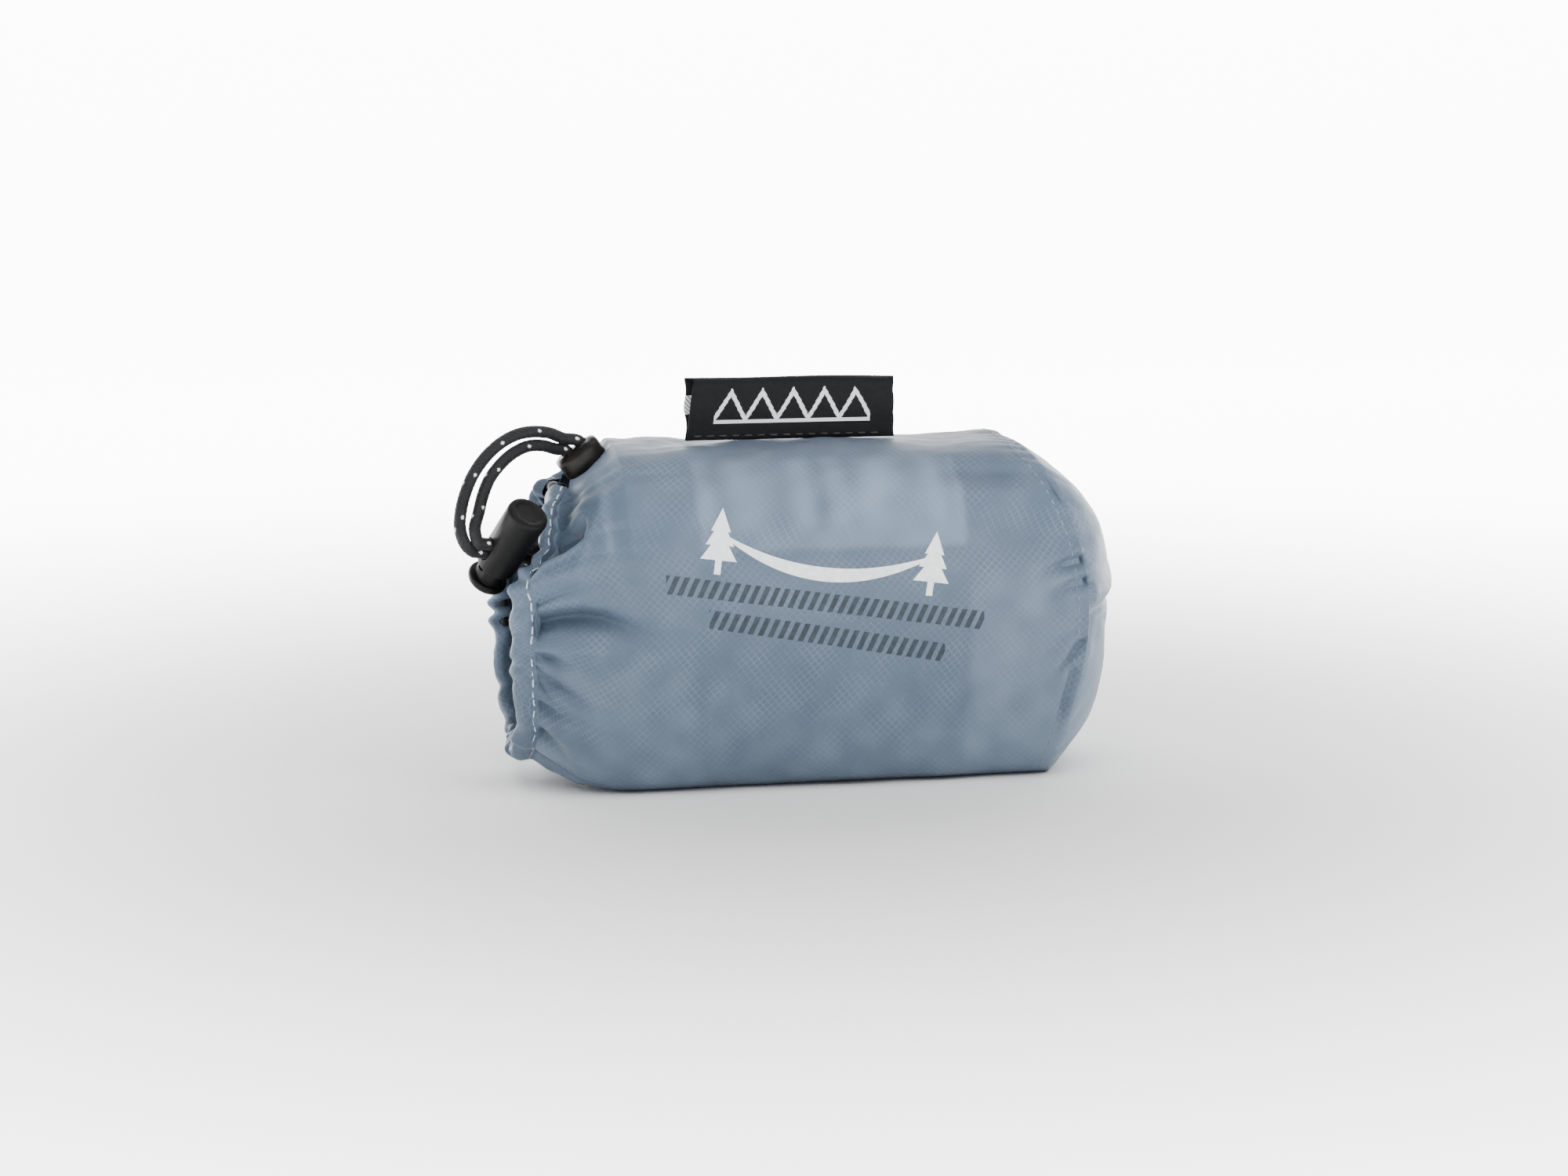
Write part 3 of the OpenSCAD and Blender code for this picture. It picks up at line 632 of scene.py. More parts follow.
frontFolds = {  # (x, z) in mm on the front, then depth, widths below and above, ridge under, fades
    "lockFold": (
        [(-68.6, 39.6), (-66.9, 40.6), (-64.6, 41.3), (-61.2, 41.8), (-57.8, 42.1), (-53.3, 41.6),
         (-49.4, 40.2), (-44.8, 38.2), (-40.2, 35.8), (-36, 33.4)],
        4.02, 3.4, 1.9, 0.5, 0.0, 0.75,
    ),
    "secondFold": (
        [(-68.6, 32.8), (-66.1, 33.6), (-64.2, 33.2), (-61.9, 31.9), (-57.5, 29.0)],
        2.21, 1.8, 0.9, 0.35, 0.0, 0.8,
    ),
    "thirdFold": (
        [(-67.4, 29.2), (-66.4, 28.6), (-64.1, 26.8), (-61.1, 24.7), (-56.8, 21.2)],
        1.7, 1.9, 1.1, 0.45, 0.0, 0.8,
    ),
    "lowFold": (
        [(-67.0, 21.6), (-64.7, 20.6), (-61.4, 18.6), (-57.0, 15.4)],
        1.76, 1.6, 1.0, 0.5, 0.0, 0.8,
    ),
    "footFold": (
        [(-66.2, 14.8), (-63.9, 12.9), (-61.0, 10.4), (-58.6, 8.6)],
        1.26, 1.5, 0.9, 0.45, 0.0, 0.8,
    ),
    "pleat": (
        [(-68.2, 51.4), (-66.5, 53.2), (-65.3, 54.6), (-63.0, 55.8), (-60.7, 57.1), (-58.6, 58.8),
         (-57.3, 60.0), (-56.6, 62.0), (-55.4, 65.5)],
        3.57, 0.8, 3.6, 0.55, 0.0, 0.35,
    ),
    "tuck": (
        [(-63.4, 60.8), (-62.2, 62.1), (-60.3, 64.9), (-57.2, 69.2), (-53.5, 73.0)],
        1.8, 1.6, 1.6, 0.3, 0.0, 0.5,
    ),
    "sideFoldHigh": (
        [(61.5, 52.4), (57.5, 51.5), (53.1, 50.3), (49.5, 49.0), (45.0, 47.2)],
        1.52, 1.2, 1.5, 0.3, 0.05, 0.75,
    ),
    "sideFoldLow": (
        [(61.5, 47.2), (57.5, 46.3), (55.1, 45.4), (52.7, 44.4), (47.5, 42.0)],
        1.33, 1.2, 1.5, 0.3, 0.05, 0.75,
    ),
    "cornerFold": (
        [(52.0, 71.6), (53.0, 69.8), (53.1, 67.9), (55.6, 65.6), (57.5, 63.0)],
        1.12, 1.3, 1.1, 0.2, 0.1, 0.4,
    ),
    "seamFoldHigh": (
        [(59.6, 33.4), (58.2, 31.5), (56.5, 29.0), (54.4, 26.6), (51.8, 23.2)],
        1.8, 1.3, 0.9, 0.35, 0.1, 0.6,
    ),
    "seamFoldLow": (
        [(57.6, 28.0), (56.5, 24.6), (54.9, 18.3), (53.8, 11.3), (53.0, 7.0)],
        1.62, 1.0, 1.2, 0.3, 0.15, 0.5,
    ),
    "strapEdgeLeft": (
        [(-30.0, 44.0), (-30.3, 33.7), (-31.2, 21.3), (-29.7, 8.0)],
        0.45, 2.2, 1.6, 0.4, 0.3, 0.3,
    ),
    "strapEdgeRight": (
        [(31.3, 47.0), (31.5, 39.0), (31.8, 18.7), (33.7, 7.0)],
        0.45, 2.2, 1.6, 0.4, 0.3, 0.3,
    ),
    "topEdge": (
        [(22, 72.4), (39.1, 71.9), (45.3, 71.4), (51.7, 70.6)],
        0.72, 2.4, 1.8, 0.8, 0.3, 0.3,
    ),
}
crest, phase = gathers(colMouth[:-1])


def bodySurface():
    base = bodyBase()
    n = normals(base, np.stack([base[..., 0], 0 * base[..., 1], np.full(base.shape[:2], midHeight)], -1))
    u, v = runDown(base)
    x, y, z = base[..., 0], base[..., 1], base[..., 2]
    # gathers die away up the cloth, each at its own rate
    reach = sack["gatherRun"] * (0.55 + 0.9 * np.interp(colMouth[:-1], np.linspace(0, 1, 38), rng.uniform(0, 1, 38)))
    fade = np.exp(-((u / reach[None, :]) ** 1.25))
    size = 0.65 + 0.35 * np.sin(full * 4 * colMouth[:-1] + 0.9)
    move = sack["gatherDepth"] * (crest * size - 0.5)[None, :] * fade
    # broader folds that run out of every few gathers
    wide = np.abs(np.sin(math.pi * (phase / 3.0 + 0.2))) ** 0.8 - 0.6
    move += 1.1 * wide[None, :] * np.exp(-((u / 26) ** 1.6)) * smooth(u / 6)
    # long soft wrinkles and small crumples
    move += sack["waveDepth"] * softNoise(u, v, sack["waves"], 14, 60, 3) * (0.5 + smooth((u - 4) / 20)) * 1.6
    move += 0.045 * softNoise(u, v, 30, 3.5, 10, 5) * (1 + 1.5 * np.exp(-u / 18))
    # puckers along the base seam
    toSeam = u[-1][None, :] - u
    move += 0.38 * puckers(v) * np.exp(-((toSeam / 5.5) ** 1.2)) * smooth(z / 8)
    move -= sack["seamDip"] * np.exp(-((toSeam / 1.0) ** 2))
    # painted shade: the folds and gather valleys are darkened by how far the cloth lies doubled there
    doubledShade = np.zeros(move.shape)  # how far the cloth lies folded on itself
    for points, depth, below, above, ridge, fadeIn, fadeOut in frontFolds.values():
        fold = crease(points, x, z, y, depth, below, above, ridge, fadeIn, fadeOut)
        mirrored = [(px, 0.93 * pz + 1.5) for px, pz in points]  # folds of the same kind on the hidden side
        fold += 0.6 * crease(mirrored, x, z, -y, depth, below, above, ridge, fadeIn, fadeOut)
        doubledShade = np.maximum(doubledShade, -fold / 3.2)
        move += fold
    # painted shade in the valleys of the gathers
    doubledShade = np.maximum(doubledShade, np.clip(0.55 - crest * size, 0, 1)[None, :] * 1.3 * fade**1.5)
    return moved(base, n, move), u, v, doubledShade


def baseSurface(rows=58):
    base = panelBase(rows)
    n = normals(base, np.array([40.0, 0, midHeight]))
    n = n * np.sign(n[..., :1].mean())
    u, v = runDown(base)
    y, z = base[..., 1], base[..., 2]
    move = 0.42 * puckers(v) * np.exp(-((u / 4.5) ** 1.2)) * smooth(z / 8)
    move -= sack["seamDip"] * np.exp(-((u / 0.9) ** 2))
    move += 0.5 * softNoise(y, z, 14, 12, 40, 9) * smooth(u / 6) * 0.6
    move += 0.06 * softNoise(y, z, 24, 3, 9, 10)
    # the upper half of the panel hangs over the lower in one soft edge
    edge = z - (42.0 + 0.08 * y)
    lip = 0.9 * np.exp(-(((edge - 3.2) / 3.4) ** 2)) - 1.1 * np.exp(-((edge / 1.3) ** 2))
    move += lip * smooth((-y - 2) / 8) * smooth(u / 2.5)
    return moved(base, n, move)


bodyGrid, bodyU, bodyV, bodyDoubledShade = bodySurface()
print("sack cloth worked out:", bodyGrid.shape)
baseGrid = baseSurface()
baseGrid[0] = bodyGrid[-1]  # the two cloths meet along the seam


def hemSurface():
    # the drawcord channel: from its inner stitched edge round the fold to its outer stitched edge
    topCol = np.abs(np.mod(colAngle - math.pi / 2 + math.pi, full) - math.pi)
    order = np.argsort(np.mod(colAngle - math.pi / 2, full))
    order = order[topCol[order] > math.radians(15.5)]
    a = colAngle[order]
    q = np.linspace(math.radians(168), -math.radians(180), sack["hemRows"])[:, None]
    side, face = hemAxes(a)
    c = np.cos(q)
    half = hemThick / 2 * np.abs(np.sin(q)) ** 0.8 * (0.3 + 0.7 * smooth((c + 1.05) / 0.9))
    share = colMouth[:-1][order]
    ruffle = np.sin(math.pi * phase[order]) ** 2 * (0.65 + 0.35 * np.sin(full * 4 * share + 0.9)) - 0.22
    grow = 0.5 + 0.5 * smooth((c + 1) / 2)
    push = 0.8 * sack["gatherDepth"] * ruffle[None, :] * (0.6 + 0.7 * smooth((c + 1) / 2))
    pull = 0.5 * np.sin(full * 11 * share + 1.2 * np.sin(full * 5 * share))[None, :] * smooth((c + 0.2) / 1.2)
    across = (hemWide / 2 + 0.2 * (c < -0.9)) * c + pull
    through = half * np.sign(np.sin(q)) - push
    grid = hemLine(a)[None] + side[None] * across[..., None] - face[None] * through[..., None]
    wide = colWide[:-1][order][None, :]
    wrinkle = 0.12 * softNoise(np.broadcast_to(q * 3, (len(q), len(a))), wide, 20, 2.2, 7, 21) * grow
    grid = grid + face[None] * wrinkle[..., None]
    t = smooth((np.arange(sack["hemRows"]) - (sack["hemRows"] - 7)) / 6)[:, None, None]
    target = bodyGrid[0][order][None]
    grid = grid * (1 - t) + (target + (grid - grid[-1:]) * (1 - t)) * t
    grid[..., 2] = np.maximum(grid[..., 2], 0.4)
    u = -np.linalg.norm(np.diff(grid, axis=0), axis=-1)[::-1].cumsum(0)[::-1]
    u = np.concatenate([u, np.zeros((1, u.shape[1]))])
    return grid, u, np.broadcast_to(wide, u.shape), order


hemGrid, hemU, hemV, hemOrder = hemSurface()

# fabric

fabric = {
    "colour": "#586779",
    "shadeColour": "#4F5D6E",
    "lines": "#708194",
    "diamondLong": 1.8,  # mm along the cloth; the real grid is about half this, too fine to show
    "diamondWide": 1.8,  # mm round the cloth
    "yarnShade": "#475363",
    # the darker colour serves both what shows through and painted shade in folds and under the lock
    "ghostPale": "#8698AC",
    "showThroughDarkShade": "#323F4D",
    "white": "#F7F9FB",
    "dark": "#15232A",
}
printMark = {"middle": (-1.4, 55.2), "tilt": -7.6, "halfWide": 29.0, "halfHigh": 7.4}  # mm and degrees on the front
printBars = (  # left end x and z, right end x and z, height; all mm
    (-38.5, 49.2, 35.3, 38.4, 4.3),
    (-28.7, 41.0, 26.1, 31.2, 4.3),
)


def fabricMaterial(name, printed):
    # ripstop nylon, woven and coated: a soft sheen, a fine raised lattice, what lies inside showing faintly, and
    # painted shade and light carried with it
    made, put = newMaterial(name)
    uvMap = put("UVMap", uv_map="UVMap")
    split = put("SeparateXYZ", uvMap, out=None)
    u = put("Math:MULTIPLY", split.outputs[0], 1000 / fabric["diamondLong"])
    v = put("Math:MULTIPLY", split.outputs[1], 1000 / fabric["diamondWide"])
    lines = []
    for kind in ("Math:ADD", "Math:SUBTRACT"):
        part = put("Math:PINGPONG", put(kind, u, v), 0.5)
        lines.append(put("Math:MULTIPLY_ADD", part, -6.5, 1.0, use_clamp=True))
    lattice = put("Math:MAXIMUM", *lines)
    place = put("TexCoord", out=3)
    cloud = put("TexNoise", sockets={"Vector": place, "Scale": 42.0, "Detail": 2.0})
    speck = put("TexNoise", sockets={"Vector": uvMap, "Scale": 2600.0, "Detail": 2.0})  # 0.4 mm yarn grain
    # this attribute carries what shows through the cloth and also painted shade and light
    showThroughShade = put("Attribute", out=2, attribute_name="showThroughShade")
    patchy = put("TexNoise", sockets={"Vector": uvMap, "Scale": 120.0, "Detail": 3.0})  # the grid shows in patches
    layers = (
        ("colour", put("Math:MULTIPLY_ADD", cloud, 1.5, -0.35, use_clamp=True)),
        ("lines", put("Math:MULTIPLY", lattice, put("Math:MULTIPLY_ADD", patchy, 1.8, -0.6, use_clamp=True))),
        ("yarnShade", put("Math:MULTIPLY_ADD", speck, 0.5, -0.13, use_clamp=True)),
        ("ghostPale", put("Math:MAXIMUM", showThroughShade, 0.0)),
        ("showThroughDarkShade", put("Math:MAXIMUM", put("Math:MULTIPLY", showThroughShade, -1.0), 0.0)),
    )
    tone = srgb(fabric["shadeColour"])
    for key, share in layers:  # each colour covers those before it by its share
        tone = put("Mix", sockets={"Factor": share, "A": tone, "B": srgb(fabric[key])}, **inColour)
    height = put("Math:ADD", put("Math:MULTIPLY", lattice, 0.5), put("Math:MULTIPLY", speck, 0.6))
    rough = 0.5
    if printed:
        tone, rough = printedOver(put, place, tone)
    bump = put("Bump", sockets={"Height": height, "Strength": 0.35, "Distance": 0.00012})
    finishMaterial(put, Base_Color=tone, Roughness=rough, Specular_IOR_Level=0.26, Sheen_Weight=0.08,
                   Sheen_Roughness=0.4, Normal=bump)
    return made


def printedOver(put, place, tone):
    # two prints on the front: a white hammock between two trees, and two dark rows of slanted ticks
    at = put("SeparateXYZ", place, out=None)
    x, y, z = (put("Math:MULTIPLY", at.outputs[k], 1000.0) for k in range(3))
    front = put("Math:LESS_THAN", y, -5.0)
    tilt = math.radians(printMark["tilt"])
    dx, dz = put("Math:SUBTRACT", x, printMark["middle"][0]), put("Math:SUBTRACT", z, printMark["middle"][1])
    p = put("Math:ADD", put("Math:MULTIPLY", dx, math.cos(tilt)), put("Math:MULTIPLY", dz, math.sin(tilt)))
    q = put("Math:SUBTRACT", put("Math:MULTIPLY", dz, math.cos(tilt)), put("Math:MULTIPLY", dx, math.sin(tilt)))
    least = functools.partial(folded, put, "Math:MINIMUM")
    most = functools.partial(folded, put, "Math:MAXIMUM")
    edge = (12.0, 0.5)  # from mm inside an edge to cover, 0.08 mm soft
    up, reach = printMark["halfHigh"], printMark["halfWide"] - 4.2
    # minus the mm from the nearer trunk
    off = put("Math:SUBTRACT", 0.0, put("Math:ABSOLUTE", put("Math:SUBTRACT", put("Math:ABSOLUTE", p), reach)))
    trunk = least(put("Math:ADD", off, 0.75), put("Math:ADD", q, up), put("Math:SUBTRACT", 0.0, q))
    crowns = []
    for low, high, half in ((-4.2, 2.2, 4.2), (-0.9, 5.0, 3.3), (2.2, up, 2.3)):
        cone = put("Math:ADD", off, put("Math:MULTIPLY", put("Math:SUBTRACT", high, q), half / (high - low)))
        crowns.append(least(cone, put("Math:SUBTRACT", q, low)))
    bow = put("Math:POWER", put("Math:DIVIDE", p, reach), 2.0)
    under = put("Math:SUBTRACT", q, put("Math:MULTIPLY_ADD", bow, 8.2, -6.6))
    over = put("Math:SUBTRACT", put("Math:MULTIPLY_ADD", bow, 5.4, -3.4), q)
    between = put("Math:SUBTRACT", reach, put("Math:ABSOLUTE", p))
    middle = put("Math:SUBTRACT", q, put("Math:MULTIPLY_ADD", bow, 6.6, -4.8))
    hung = least(most(least(under, over), put("Math:SUBTRACT", 0.42, put("Math:ABSOLUTE", middle))), between)
    white = put("Math:MULTIPLY_ADD", most(trunk, *crowns, hung), *edge, use_clamp=True)
    rows = []
    for x1, z1, x2, z2, high in printBars:
        slope = (z2 - z1) / (x2 - x1)
        level = put("Math:SUBTRACT", z, put("Math:MULTIPLY_ADD", x, slope, z1 - slope * x1))
        tall = put("Math:SUBTRACT", high / 2, put("Math:ABSOLUTE", level))
        inside = least(tall, put("Math:SUBTRACT", x, x1), put("Math:SUBTRACT", x2, x))
        tick = put("Math:SUBTRACT", 0.62, put("Math:PINGPONG", put("Math:MULTIPLY_ADD", level, -0.45, x), 1.15))
        rows.append(put("Math:MULTIPLY_ADD", least(inside, tick), *edge, use_clamp=True))
    wear = put("TexNoise", sockets={"Vector": place, "Scale": 700.0, "Detail": 3.0})
    cover = put("Math:MULTIPLY_ADD", wear, -0.5, 1.15, use_clamp=True)
    white = put("Math:MULTIPLY", put("Math:MULTIPLY", white, front), cover)
    dark = put("Math:MULTIPLY", put("Math:MULTIPLY", most(*rows), front), cover)
    for key, share in (("dark", put("Math:MULTIPLY", dark, 0.92)), ("white", put("Math:MULTIPLY", white, 0.94))):
        tone = put("Mix", sockets={"Factor": share, "A": tone, "B": srgb(fabric[key])}, **inColour)
    return tone, put("Math:MULTIPLY_ADD", put("Math:MAXIMUM", white, dark), -0.08, 0.5)


def band(t, low, high, soft):  # 1 from low to high, with soft edges
    return smooth((t - low) / soft + 0.5) * smooth((high - t) / soft + 0.5)


def paintShowThroughShade(grid, u, v, doubledShade):
    # how far what lies inside shows through the cloth, with painted shade and light added: above 0 paler, below 0
    # darker
    x, y, z = grid[..., 0], grid[..., 1], grid[..., 2]
    front = smooth((-y - 6) / 10)
    slant = x + 0.06 * (z - 60)
    care = band(slant, -30.5, 31.0, 1.6) * band(z, 56.0, 75.5, 2.2)
    weave = 0.5 + 0.5 * np.sin(slant * 0.62 + 1.3 * np.sin(slant * 0.21)) * smooth((z - 58) / 6)
    out = (0.10 + 0.22 * weave) * care * front
    out += 0.12 * band(slant, 3, 31, 3) * band(z, 56, 74, 4) * front
    left = slant + 52.5
    edges = band(left, 0.6, 2.4, 1.0) - 0.8 * band(left, 3.2, 6.4, 1.4) - 0.5 * band(left, -3, 0, 1.5)
    out += 0.22 * front * band(z, 56, 74, 5) * edges
    # the dark slings touch the middle of the front, the rolled straps each side of them, and they show through; these
    # marks also paint light and shade: paler low on the right, darker high up on the right and on the left
    out -= 0.07 * front * band(x, -30.6 - 0.02 * (z - 34), 31.6, 2.2) * band(z, -6, 55, 12)
    out += 0.14 * front * band(x, 31.6, 58, 4) * band(z, 6, 50, 12)
    out -= 0.12 * front * band(x, 34, 60, 12) * band(z, 50, 72, 10)
    out -= 0.17 * front * band(x, -56, -36, 10) * band(z, 42, 72, 12)
    out += 0.26 * front * (1 - smooth(z / 36))  # paler low down
    # under the lock the cloth is tucked in behind itself, and it is painted darker there as shade
    out -= 0.35 * front * band(x - 0.45 * (z - 60), -66, -55.5, 1.6) * band(z, 52.5, 71, 3)
    out += 0.06 * softNoise(u, v, 12, 8, 30, 31) * front
    # painted shade in the folds and gather valleys, where the cloth also lies doubled
    return out - 0.75 * np.clip(doubledShade, 0, 1)


fabricLook = fabricMaterial("coatedRipstopNylon", True)
fabricPlain = fabricMaterial("coatedRipstopNylonPlain", False)


def withSeam(values, step):  # one column more, for a pattern that closes round a loop
    return np.concatenate([values, values[:, :1] + step], 1)


seen = {"showThroughShade": paintShowThroughShade(bodyGrid, bodyU, bodyV, bodyDoubledShade)}
body = addGrid("sackCloth", bodyGrid, withSeam(bodyU, 0) * mm, withSeam(bodyV, flatRound) * mm, True, fabricLook, seen)
hem = addGrid("mouthHem", hemGrid, hemU * mm, hemV * mm, False, fabricLook, {"showThroughShade": 0 * hemU})


def addBase():
    # the panel's grid, closed in its middle
    rows, cols = baseGrid.shape[:2]
    middle = np.mean(baseGrid[-1], 0) + np.array([0.03, 0, 0])
    faces = gridFaces(rows, cols, True).tolist()
    last = (rows - 1) * cols
    faces += [[last + k, last + (k + 1) % cols, rows * cols] for k in range(cols)]
    # the panel is cut flat, so its lattice follows its own plane
    flat = np.stack([baseGrid[..., 1], baseGrid[..., 2]], -1).reshape(-1, 2)
    flat = np.vstack([flat, middle[None, 1:]])
    uv = flat[np.concatenate([np.asarray(f) for f in faces])] * mm
    points = np.vstack([baseGrid.reshape(-1, 3), middle[None]])
    # paler towards the bottom of the panel
    paler = 0.05 + 0.45 * (1 - smooth((points[:, 2] - 12) / 30))
    return addMesh("basePanel", points, faces, uv, fabricPlain, {"showThroughShade": paler})


base = addBase()
for piece, node in ((body, "sack_body"), (hem, "mouth_hem"), (base, "base_panel")):
    inFrame(piece, "sack", node)
print("sack, hem and base panel made")

# stitching


def threadMaterial(name, colour, shade):
    # twisted polyester sewing thread: fine oblique plies with a slight shine
    made, put = newMaterial(name)
    uvMap = put("UVMap", uv_map="UVMap")
    waves = {"Vector": uvMap, "Scale": 420.0, "Distortion": 0.6}
    ply = put("TexWave", sockets=waves, bands_direction="DIAGONAL", out=1)
    tone = put("Mix", sockets={"Factor": ply, "A": srgb(shade), "B": srgb(colour)}, **inColour)
    finishMaterial(put, Base_Color=tone, Roughness=0.55, Sheen_Weight=0.2,
                   Normal=put("Bump", sockets={"Height": ply, "Strength": 0.5, "Distance": 0.00005}))
    return made


def addStitches(name, start, end, out, thick, material, bodyName, node):
    # short arched threads: each rises from the cloth, lies along it and goes back in
    a, b, n = (np.asarray(p, float)[:, None, None, :] for p in (start, end, out))
    rings = sides = 8
    t = np.linspace(0, 1, rings)[None, :, None, None]
    q = np.linspace(0, full, sides, endpoint=False)[None, None, :, None]
    side = unit(np.cross(b - a, n))
    r = thick / 2 * (1 - np.abs(2 * t - 1) ** 6 * 0.75)
    arch = thick * (np.sin(math.pi * t) ** 0.5 * 0.85 - 0.6)
    grid = a + (b - a) * t + n * (arch + r * np.cos(q)) + side * r * np.sin(q)
    count, each = len(grid), rings * sides
    one, caps = gridFaces(rings, sides, True), cappedFaces(rings, sides)[-2:]
    faces = (one[None] + (np.arange(count) * each)[:, None, None]).reshape(-1, 4).tolist()
    faces += [[k * each + i for i in cap] for k in range(count) for cap in caps]
    run, turn = np.meshgrid(np.linspace(0, 2.4, rings), np.linspace(0, full * thick / 2, sides + 1), indexing="ij")
    uv = np.vstack([np.tile(gridUv(run, turn), (count, 1)), np.zeros((2 * sides * count, 2))])
    inFrame(addMesh(name, grid.reshape(-1, 3), faces, uv * mm, material), bodyName, node)


def alongRow(row, at):  # points at given lengths along a polyline
    run = runAlong(row)
    return np.stack([np.interp(at * run[-1], run, row[:, k]) for k in range(3)], 1)


def flatNormals(row, across):  # at right angles to a row of points and to what lies across it
    return unit(np.cross(np.gradient(row, axis=0), across))


def hemStitching():
    row, before = hemGrid[-5], hemGrid[-7]
    n = flatNormals(row, before - row)
    n *= np.sign(np.sum(n * hemOut(colAngle[hemOrder]), -1).mean())
    count, share = 70, 0.86
    k = np.arange(count) + 0.08 * np.sin(np.arange(count) * 2.3)
    a, b = (k + 0.07) / count, (k + 0.07 + share) / count
    out = alongRow(row + n, (a + b) / 2) - alongRow(row, (a + b) / 2)
    return alongRow(row, a), alongRow(row, b), unit(out)


whiteThread = threadMaterial("whitePolyesterThread", "#DCE6EE", "#AEBDCA")
blueThread = threadMaterial("greyBlueThread", "#77879A", "#5C6B7D")
blackThread = threadMaterial("blackThread", "#1A1B1E", "#0B0B0D")
start, end, out = hemStitching()
addStitches("hemStitches", start, end, out, 0.38, whiteThread, "sack", "hem_stitches")


def baseStitching():
    row, before = bodyGrid[-3], bodyGrid[-5]
    row, before = np.vstack([row, row[:1]]), np.vstack([before, before[:1]])
    n = flatNormals(row, before - row)
    n *= np.sign(np.sum(n * (row - [0, 0, midHeight]) * [0, 1, 1], -1).mean())
    count = 96
    k = np.arange(count)
    a, b = (k + 0.2) / count, (k + 0.72) / count
    start, end = alongRow(row, a), alongRow(row, b)
    up = (start[:, 2] > 1.2) & (end[:, 2] > 1.2)  # none where it lies on its underside
    out = unit(alongRow(row + n, a) - alongRow(row, a))
    return start[up], end[up], out[up]


start, end, out = baseStitching()
addStitches("baseSeamStitches", start, end, out, 0.3, blueThread, "sack", "base_seam_stitches")

# flat strips: webbing, seam allowances, the care label


def addStrip(name, path, across, wide, thick, material, loop=False, ridges=0.0):
    # a flat profile with rounded edges carried along a path; ridges is the depth of its woven edge cords
    path, across = np.asarray(path, float), np.asarray(across, float)
    q = np.linspace(0, full, 36, endpoint=False)
    a = wide / 2 * signedPower(np.cos(q), 0.22)
    b = thick / 2 * signedPower(np.sin(q), 0.5) * (1 + ridges * (np.abs(a) > wide / 2 - 1.6))
    tangent = unit(np.roll(path, -1, 0) - np.roll(path, 1, 0) if loop else np.gradient(path, axis=0))
    side = unit(across - np.sum(across * tangent, -1, keepdims=True) * tangent)
    normal = np.cross(tangent, side)
    grid = path[:, None] + a[None, :, None] * side[:, None] + b[None, :, None] * normal[:, None]
    rows, cols = grid.shape[:2]
    run = runAlong(path)
    wideRun = runAlong(np.concatenate([np.stack([a, b], 1), [[a[0], b[0]]]]))
    if loop:
        run = np.append(run, run[-1] + np.linalg.norm(path[0] - path[-1]))
        faces = gridFaces(rows + 1, cols, True) % (rows * cols)
    else:
        faces = cappedFaces(rows, cols)
    uv = gridUv(*np.broadcast_arrays(run[:, None], wideRun[None, :]))
    if not loop:
        uv = np.vstack([uv, np.zeros((2 * cols, 2))])
    return addMesh(name, grid.reshape(-1, 3), faces, uv * mm, material)


def wovenMaterial(name, light, dark, rib, wale, rough):
    # woven tape: ribs across it and finer wales along it, yarns painted paler on their crowns and darker between them
    # as shade
    made, put = newMaterial(name)
    uvMap = put("UVMap", uv_map="UVMap")
    split = put("SeparateXYZ", uvMap, out=None)
    across = put("Math:PINGPONG", put("Math:MULTIPLY", split.outputs[0], 1000 / rib), 0.5)
    along = put("Math:PINGPONG", put("Math:MULTIPLY", split.outputs[1], 1000 / wale), 0.5)
    across, along = (put("Math:MULTIPLY_ADD", way, 1.4, 0.3) for way in (across, along))
    yarn = put("Math:MULTIPLY", across, along, use_clamp=True)
    fuzz = put("TexNoise", sockets={"Vector": uvMap, "Scale": 3000.0, "Detail": 2.0})
    crown = put("Math:MULTIPLY", yarn, put("Math:MULTIPLY_ADD", fuzz, 0.8, 0.6), use_clamp=True)
    # painted shade between the yarns, painted light on their crowns
    tone = put("Mix", sockets={"Factor": crown, "A": srgb(dark), "B": srgb(light)}, **inColour)
    finishMaterial(put, Base_Color=tone, Roughness=rough, Sheen_Weight=0.2,
                   Normal=put("Bump", sockets={"Height": yarn, "Strength": 0.6, "Distance": 0.00012}))
    return made


webbingLook = wovenMaterial("wovenPolyesterWebbing", "#4A4E54", "#25282C", 1.0, 1.3, 0.6)
careLook = wovenMaterial("whiteSatinLabel", "#F1F2F2", "#D5D8DA", 0.5, 0.4, 0.45)
strap = {"wide": 25.0, "thick": 1.1, "gap": 0.4, "turns": 11, "half": 12.0, "outer": 22.4, "middle": 35.7}  # mm


def strapPath(x):
    # a spiral that grows turn by turn, pulled apart upright into two half circles and straight runs
    per = 30
    k = np.arange(strap["turns"] * 2)[:, None]
    a = (k + np.linspace(0.012, 0.988, per)[None, :]) * math.pi
    r = strap["outer"] - (strap["thick"] + strap["gap"]) * (strap["turns"] - a / full)
    lift = np.where(k % 2 == 0, strap["half"], -strap["half"])
    y, z = -r * np.cos(a), r * np.sin(a) + lift
    return np.stack([np.full(a.size, x), y.ravel(), z.ravel() + strap["middle"]], -1)


for side, x in (("Left", -48.5), ("Right", 27.0)):
    path = strapPath(x + strap["wide"] / 2)
    across = np.tile([1.0, 0, 0], (len(path), 1))
    roll = addStrip("treeStrap" + side, path, across, strap["wide"], strap["thick"], webbingLook, ridges=0.12)
    inFrame(roll, "sack", "tree_strap_" + side.lower())
    k, z = (g.ravel() for g in np.meshgrid(np.arange(6), [32.7, 38.7], indexing="ij"))
    start = np.stack([x + 3 + k * 3.4, np.full(len(k), -23.05), z], 1)
    end, out = start + [2, 0, 1.6], np.tile([0, -1.0, 0], (len(k), 1))
    name, node = "treeStrap" + side + "Bartacks", "tree_strap_" + side.lower() + "_bartacks"
    addStitches(name, start, end, out, 0.4, whiteThread, "sack", node)

